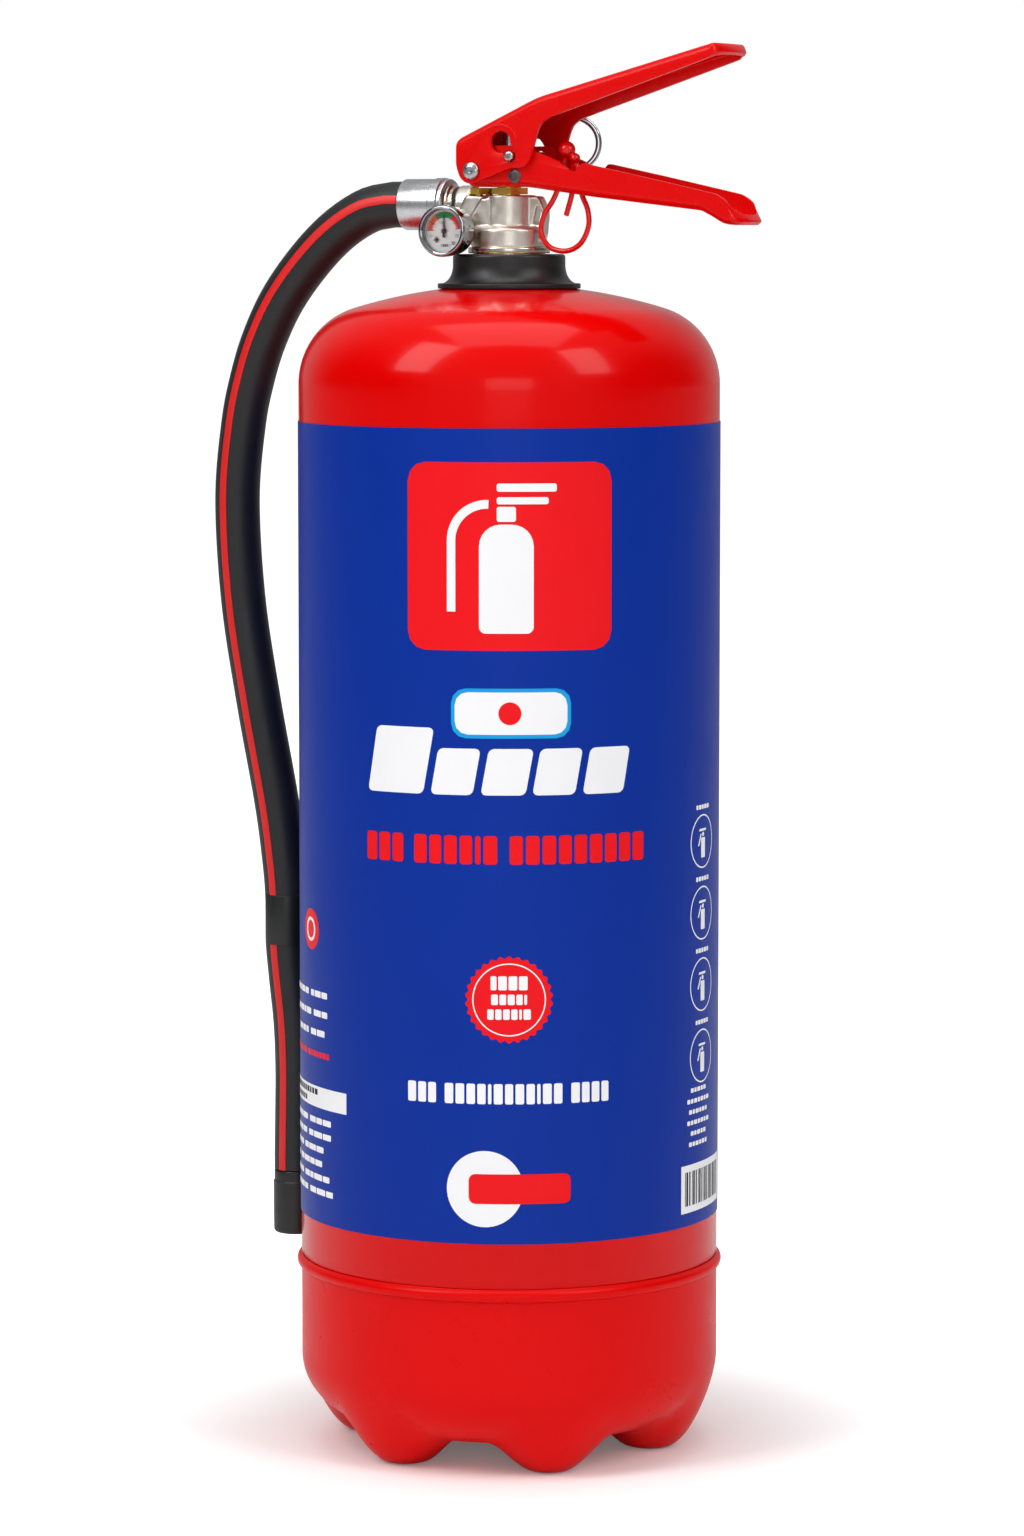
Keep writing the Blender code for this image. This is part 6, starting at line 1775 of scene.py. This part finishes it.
def make_needle():
    """The gauge's black needle on its hub and spindle."""
    _, low, high = size_of("gauge_pointer")
    spindle = 0.5 * MM
    hub = [(0.0, low.y), (0.8 * MM, low.y), (1.1 * MM, low.y + 0.3 * MM), (1.1 * MM, low.y + 0.6 * MM)]
    hub += [(spindle, low.y + 0.6 * MM), (spindle, high.y), (0.0, high.y)]
    parts = [turned("hub", hub, 40, closed=False, place=GAUGE_PLACE, along=BACKWARD)]
    blade = [(-0.55, -2.4), (0.55, -2.4), (0.50, 0.0), (0.14, 5.9), (-0.14, 5.9), (-0.50, 0.0)]
    outline = [(GAUGE_PLACE[0] + x * MM, GAUGE_Z + z * MM) for x, z in blade]
    parts.append(side_block("blade", outline, low.y + 0.25 * MM, low.y + 0.45 * MM))
    needle = joined("gauge_needle", parts)
    finish(smooth(needle), "dial_black", "pointer", "pointer_black", "gauge_pointer")


# ---------------------------------------------------------------- outlet and clip

FERRULE_START_X = -0.0238
FERRULE_END_X = -0.0434
FERRULE_RADIUS = 0.0099
OUTLET_PLACE = (AXIS_X, 0.0, OUTLET_Z)
CLIP_X = -0.0966


def make_fittings():
    """The nickel-plated outlet fitting and the crimped aluminium ferrule."""
    start_x, end_x, face = FERRULE_START_X, FERRULE_END_X, OUTLET_FACE_X
    bore = 3.0 * MM
    tail = 5.2 * MM
    collar = 7.8 * MM
    throat = 4.7 * MM
    fitting = [(bore, end_x + 0.6 * MM), (tail - 0.6 * MM, end_x + 0.6 * MM), (tail, end_x + 1.6 * MM)]
    fitting += [(tail, start_x - 0.3 * MM), (collar - 0.3 * MM, start_x - 0.3 * MM), (collar, start_x)]
    fitting += [(collar, start_x + 0.6 * MM), (6.9 * MM, start_x + 1.2 * MM), (6.9 * MM, face - 1.6 * MM)]
    fitting += [(6.6 * MM, face - 1.3 * MM), (throat, face - 1.3 * MM), (throat, face + 4.0 * MM)]
    fitting.append((bore, face + 4.0 * MM))
    adapter = turned("outlet_fitting", fitting, 96, place=OUTLET_PLACE, along=SIDEWAYS)
    finish(smooth(adapter), "nickel", "extinguisher", "brass", "outlet_adapter")
    inner = FERRULE_RADIUS - 1.1 * MM
    plain = FERRULE_RADIUS - 0.2 * MM
    ridge = FERRULE_RADIUS + 0.18 * MM
    groove = plain - 0.3 * MM
    shell = [(inner, end_x), (plain - 0.4 * MM, end_x)]
    shell += arc((plain - 0.4 * MM, end_x + 0.4 * MM), 0.4 * MM, -math.pi / 2.0, 0.0, 5)[1:]
    shell += [(plain, start_x - 6.4 * MM), (ridge, start_x - 6.0 * MM), (ridge, start_x - 2.9 * MM)]
    shell += [(groove, start_x - 2.4 * MM), (groove, start_x - 2.0 * MM), (plain, start_x - 1.7 * MM)]
    shell += arc((plain - 0.6 * MM, start_x - 1.2 * MM), 0.6 * MM, 0.0, math.pi / 2.0, 5)
    shell += [(tail + 0.3 * MM, start_x - 0.6 * MM), (tail + 0.3 * MM, start_x - 1.2 * MM)]
    shell.append((inner, start_x - 1.2 * MM))
    ferrule = turned("crimped_ferrule", shell, 128, place=OUTLET_PLACE, along=SIDEWAYS)
    finish(smooth(ferrule, math.radians(25.0)), "aluminium", "extinguisher", "aluminium", "hose_ferrule")


def make_clip(sizes):
    """The hose clip: a saddle on the cylinder, a short neck and two springy arms."""
    _, low, high = size_of("hose_clip")
    centre = (AXIS_X + CLIP_X, 0.0)
    inner = sizes.hose_diameter / 2.0 + 0.45 * MM
    outer = centre[0] - low.x
    mouth = math.radians(46.0)
    first, last = math.pi + mouth, 3.0 * math.pi - mouth
    arms = arc(centre, outer, first, last, 64) + arc(centre, inner, last, first, 64)
    clip = upright_block("hose_holder", arms, low.z, high.z)
    seat = CYLINDER_RADIUS + 0.55 * MM
    half = math.radians(10.0)
    axis = (AXIS_X, 0.0)
    saddle = arc(axis, seat, math.pi - half, math.pi + half, 24)
    saddle += arc(axis, seat + 2.0 * MM, math.pi + half, math.pi - half, 24)
    combine(clip, upright_block("saddle", saddle, low.z, high.z), "UNION")
    near = AXIS_X - seat - 0.7 * MM
    far = centre[0] + inner + 0.7 * MM
    neck = [(near, -4.2 * MM), (near, 4.2 * MM), (far, 4.2 * MM), (far, -4.2 * MM)]
    combine(clip, upright_block("neck", neck, low.z + 0.6 * MM, high.z - 0.6 * MM), "UNION")
    bevelled(clip, 0.30 * MM, 3)
    finish(smooth(clip), "nylon", "extinguisher", "black_plastic", "hose_clip")


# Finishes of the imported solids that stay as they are.
KEPT_FINISHES = {
    "brass": ["gland_nut", "handle_lock_nut", "standoff_front", "standoff_back", "neck_ring"],
    "nickel": ["bourdon_tube", "gauge_socket", "spring_retainer"],
    "zinc": ["valve_stem", "valve_spring"],
    "soft_rubber": ["neck_o_ring", "outlet_washer", "gland_seal", "gauge_o_ring", "stem_disc"],
    "rubber": ["hose_end"],
    "natural": ["dip_tube"],
}


def finish_kept():
    """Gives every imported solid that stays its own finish."""
    for finish_name, nodes in KEPT_FINISHES.items():
        for node in nodes:
            solid = bpy.data.objects[node]
            solid.data.materials.clear()
            solid.data.materials.append(MATERIALS[finish_name])


# ---------------------------------------------------------------- settings


def colour(name, description, code):
    """A colour setting from an sRGB hex code."""
    return FloatVectorProperty(
        name=name, description=description, subtype="COLOR", default=linear(code)
    )


def length(name, description, value):
    """A length setting in metres."""
    return FloatProperty(name=name, description=description, unit="LENGTH", default=value)


class ExtinguisherColours(bpy.types.PropertyGroup):
    """The paints, plastics and inks that a user might change."""

    enamel: colour("Enamel", "Paint of the cylinder", "E20000")
    powder_coat: colour("Powder coat", "Paint of the lever and the handle", "E40202")
    base_plastic: colour("Base", "Plastic of the base", "E60202")
    seal: colour("Seal", "Nylon of the tamper seal", "E80204")
    label: colour("Label", "Ground colour of the label", "00309C")
    print_red: colour("Red print", "Red ink on the label", "F5141C")
    print_white: colour("White print", "White ink on the label", "FCFCFE")
    black: colour("Black plastic", "Collar, clip and nozzle", "131415")
    rubber: colour("Rubber", "The hose's cover", "151618")
    stripe: colour("Hose line", "The line along the hose", "E31414")


class ExtinguisherSizes(bpy.types.PropertyGroup):
    """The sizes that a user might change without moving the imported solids."""

    hose_diameter: length("Hose", "Outer diameter of the hose", 0.0175)
    stripe_width: length("Hose line", "Width of the hose's red line", 0.0032)
    nozzle_diameter: length("Nozzle", "Outer diameter of the nozzle", 0.0182)
    ring_wire: length("Ring wire", "Breadth of the pull ring's wire", 0.0023)


# ---------------------------------------------------------------- operators


class EXTINGUISHER_OT_stage(bpy.types.Operator):
    """Makes the camera, the white room, the floor and the lights"""

    bl_idname = "extinguisher.stage"
    bl_label = "Stage"

    def execute(self, context):
        make_camera()
        make_world()
        make_floor()
        for row in SOFT_BOXES:
            soft_box(*row)
        context.scene.view_settings.view_transform = "Standard"
        return {"FINISHED"}


class EXTINGUISHER_OT_finishes(bpy.types.Operator):
    """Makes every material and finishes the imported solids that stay"""

    bl_idname = "extinguisher.finishes"
    bl_label = "Finishes"

    def execute(self, context):
        make_materials(context.scene.extinguisher_colours)
        finish_kept()
        return {"FINISHED"}


class EXTINGUISHER_OT_hose(bpy.types.Operator):
    """Makes the hose with its red line and its nozzle"""

    bl_idname = "extinguisher.hose"
    bl_label = "Hose and nozzle"

    def execute(self, context):
        make_hose(context.scene.extinguisher_sizes)
        return {"FINISHED"}


class EXTINGUISHER_OT_vessel(bpy.types.Operator):
    """Makes the pressure vessel and its moulded base"""

    bl_idname = "extinguisher.vessel"
    bl_label = "Vessel and base"

    def execute(self, context):
        make_vessel()
        make_base()
        return {"FINISHED"}


class EXTINGUISHER_OT_label(bpy.types.Operator):
    """Makes the label film and its print"""

    bl_idname = "extinguisher.label"
    bl_label = "Label"

    def execute(self, context):
        make_label_film()
        print_label()
        return {"FINISHED"}


class EXTINGUISHER_OT_valve(bpy.types.Operator):
    """Makes the neck collar and the valve body"""

    bl_idname = "extinguisher.valve"
    bl_label = "Collar and valve"

    def execute(self, context):
        make_collar()
        make_valve()
        make_flange()
        return {"FINISHED"}


class EXTINGUISHER_OT_lever(bpy.types.Operator):
    """Makes the squeeze lever and the carry handle"""

    bl_idname = "extinguisher.lever"
    bl_label = "Lever and handle"

    def execute(self, context):
        make_lever()
        make_handle()
        return {"FINISHED"}


class EXTINGUISHER_OT_pins(bpy.types.Operator):
    """Makes the pivot pin, the rivets, the safety pin, its ring and the tamper seal"""

    bl_idname = "extinguisher.pins"
    bl_label = "Pins and seal"

    def execute(self, context):
        make_pins()
        make_ring(context.scene.extinguisher_sizes)
        make_seal()
        return {"FINISHED"}


class EXTINGUISHER_OT_gauge(bpy.types.Operator):
    """Makes the pressure gauge"""

    bl_idname = "extinguisher.gauge"
    bl_label = "Gauge"

    def execute(self, context):
        make_gauge()
        make_dial()
        make_needle()
        return {"FINISHED"}


class EXTINGUISHER_OT_fittings(bpy.types.Operator):
    """Makes the outlet fitting, the ferrule and the hose clip"""

    bl_idname = "extinguisher.fittings"
    bl_label = "Fittings and clip"

    def execute(self, context):
        make_fittings()
        make_clip(context.scene.extinguisher_sizes)
        return {"FINISHED"}


STEPS = (
    EXTINGUISHER_OT_stage,
    EXTINGUISHER_OT_finishes,
    EXTINGUISHER_OT_hose,
    EXTINGUISHER_OT_vessel,
    EXTINGUISHER_OT_label,
    EXTINGUISHER_OT_valve,
    EXTINGUISHER_OT_lever,
    EXTINGUISHER_OT_pins,
    EXTINGUISHER_OT_gauge,
    EXTINGUISHER_OT_fittings,
)


class EXTINGUISHER_PT_panel(bpy.types.Panel):
    """Lists the extinguisher's settings and steps"""

    bl_idname = "EXTINGUISHER_PT_panel"
    bl_label = "Extinguisher"
    bl_space_type = "VIEW_3D"
    bl_region_type = "UI"
    bl_category = "Extinguisher"

    def draw(self, context):
        for group in (context.scene.extinguisher_sizes, context.scene.extinguisher_colours):
            for name in group.bl_rna.properties.keys():
                if name not in ("rna_type", "name"):
                    self.layout.prop(group, name)
        for step in STEPS:
            self.layout.operator(step.bl_idname)


CLASSES = (ExtinguisherColours, ExtinguisherSizes, *STEPS, EXTINGUISHER_PT_panel)


def register():
    for made in CLASSES:
        bpy.utils.register_class(made)
    bpy.types.Scene.extinguisher_colours = PointerProperty(type=ExtinguisherColours)
    bpy.types.Scene.extinguisher_sizes = PointerProperty(type=ExtinguisherSizes)


def unregister():
    del bpy.types.Scene.extinguisher_sizes
    del bpy.types.Scene.extinguisher_colours
    for made in reversed(CLASSES):
        bpy.utils.unregister_class(made)


def main():
    register()
    for step in STEPS:
        group, name = step.bl_idname.split(".")
        getattr(getattr(bpy.ops, group), name)()


if __name__ == "__main__":
    main()
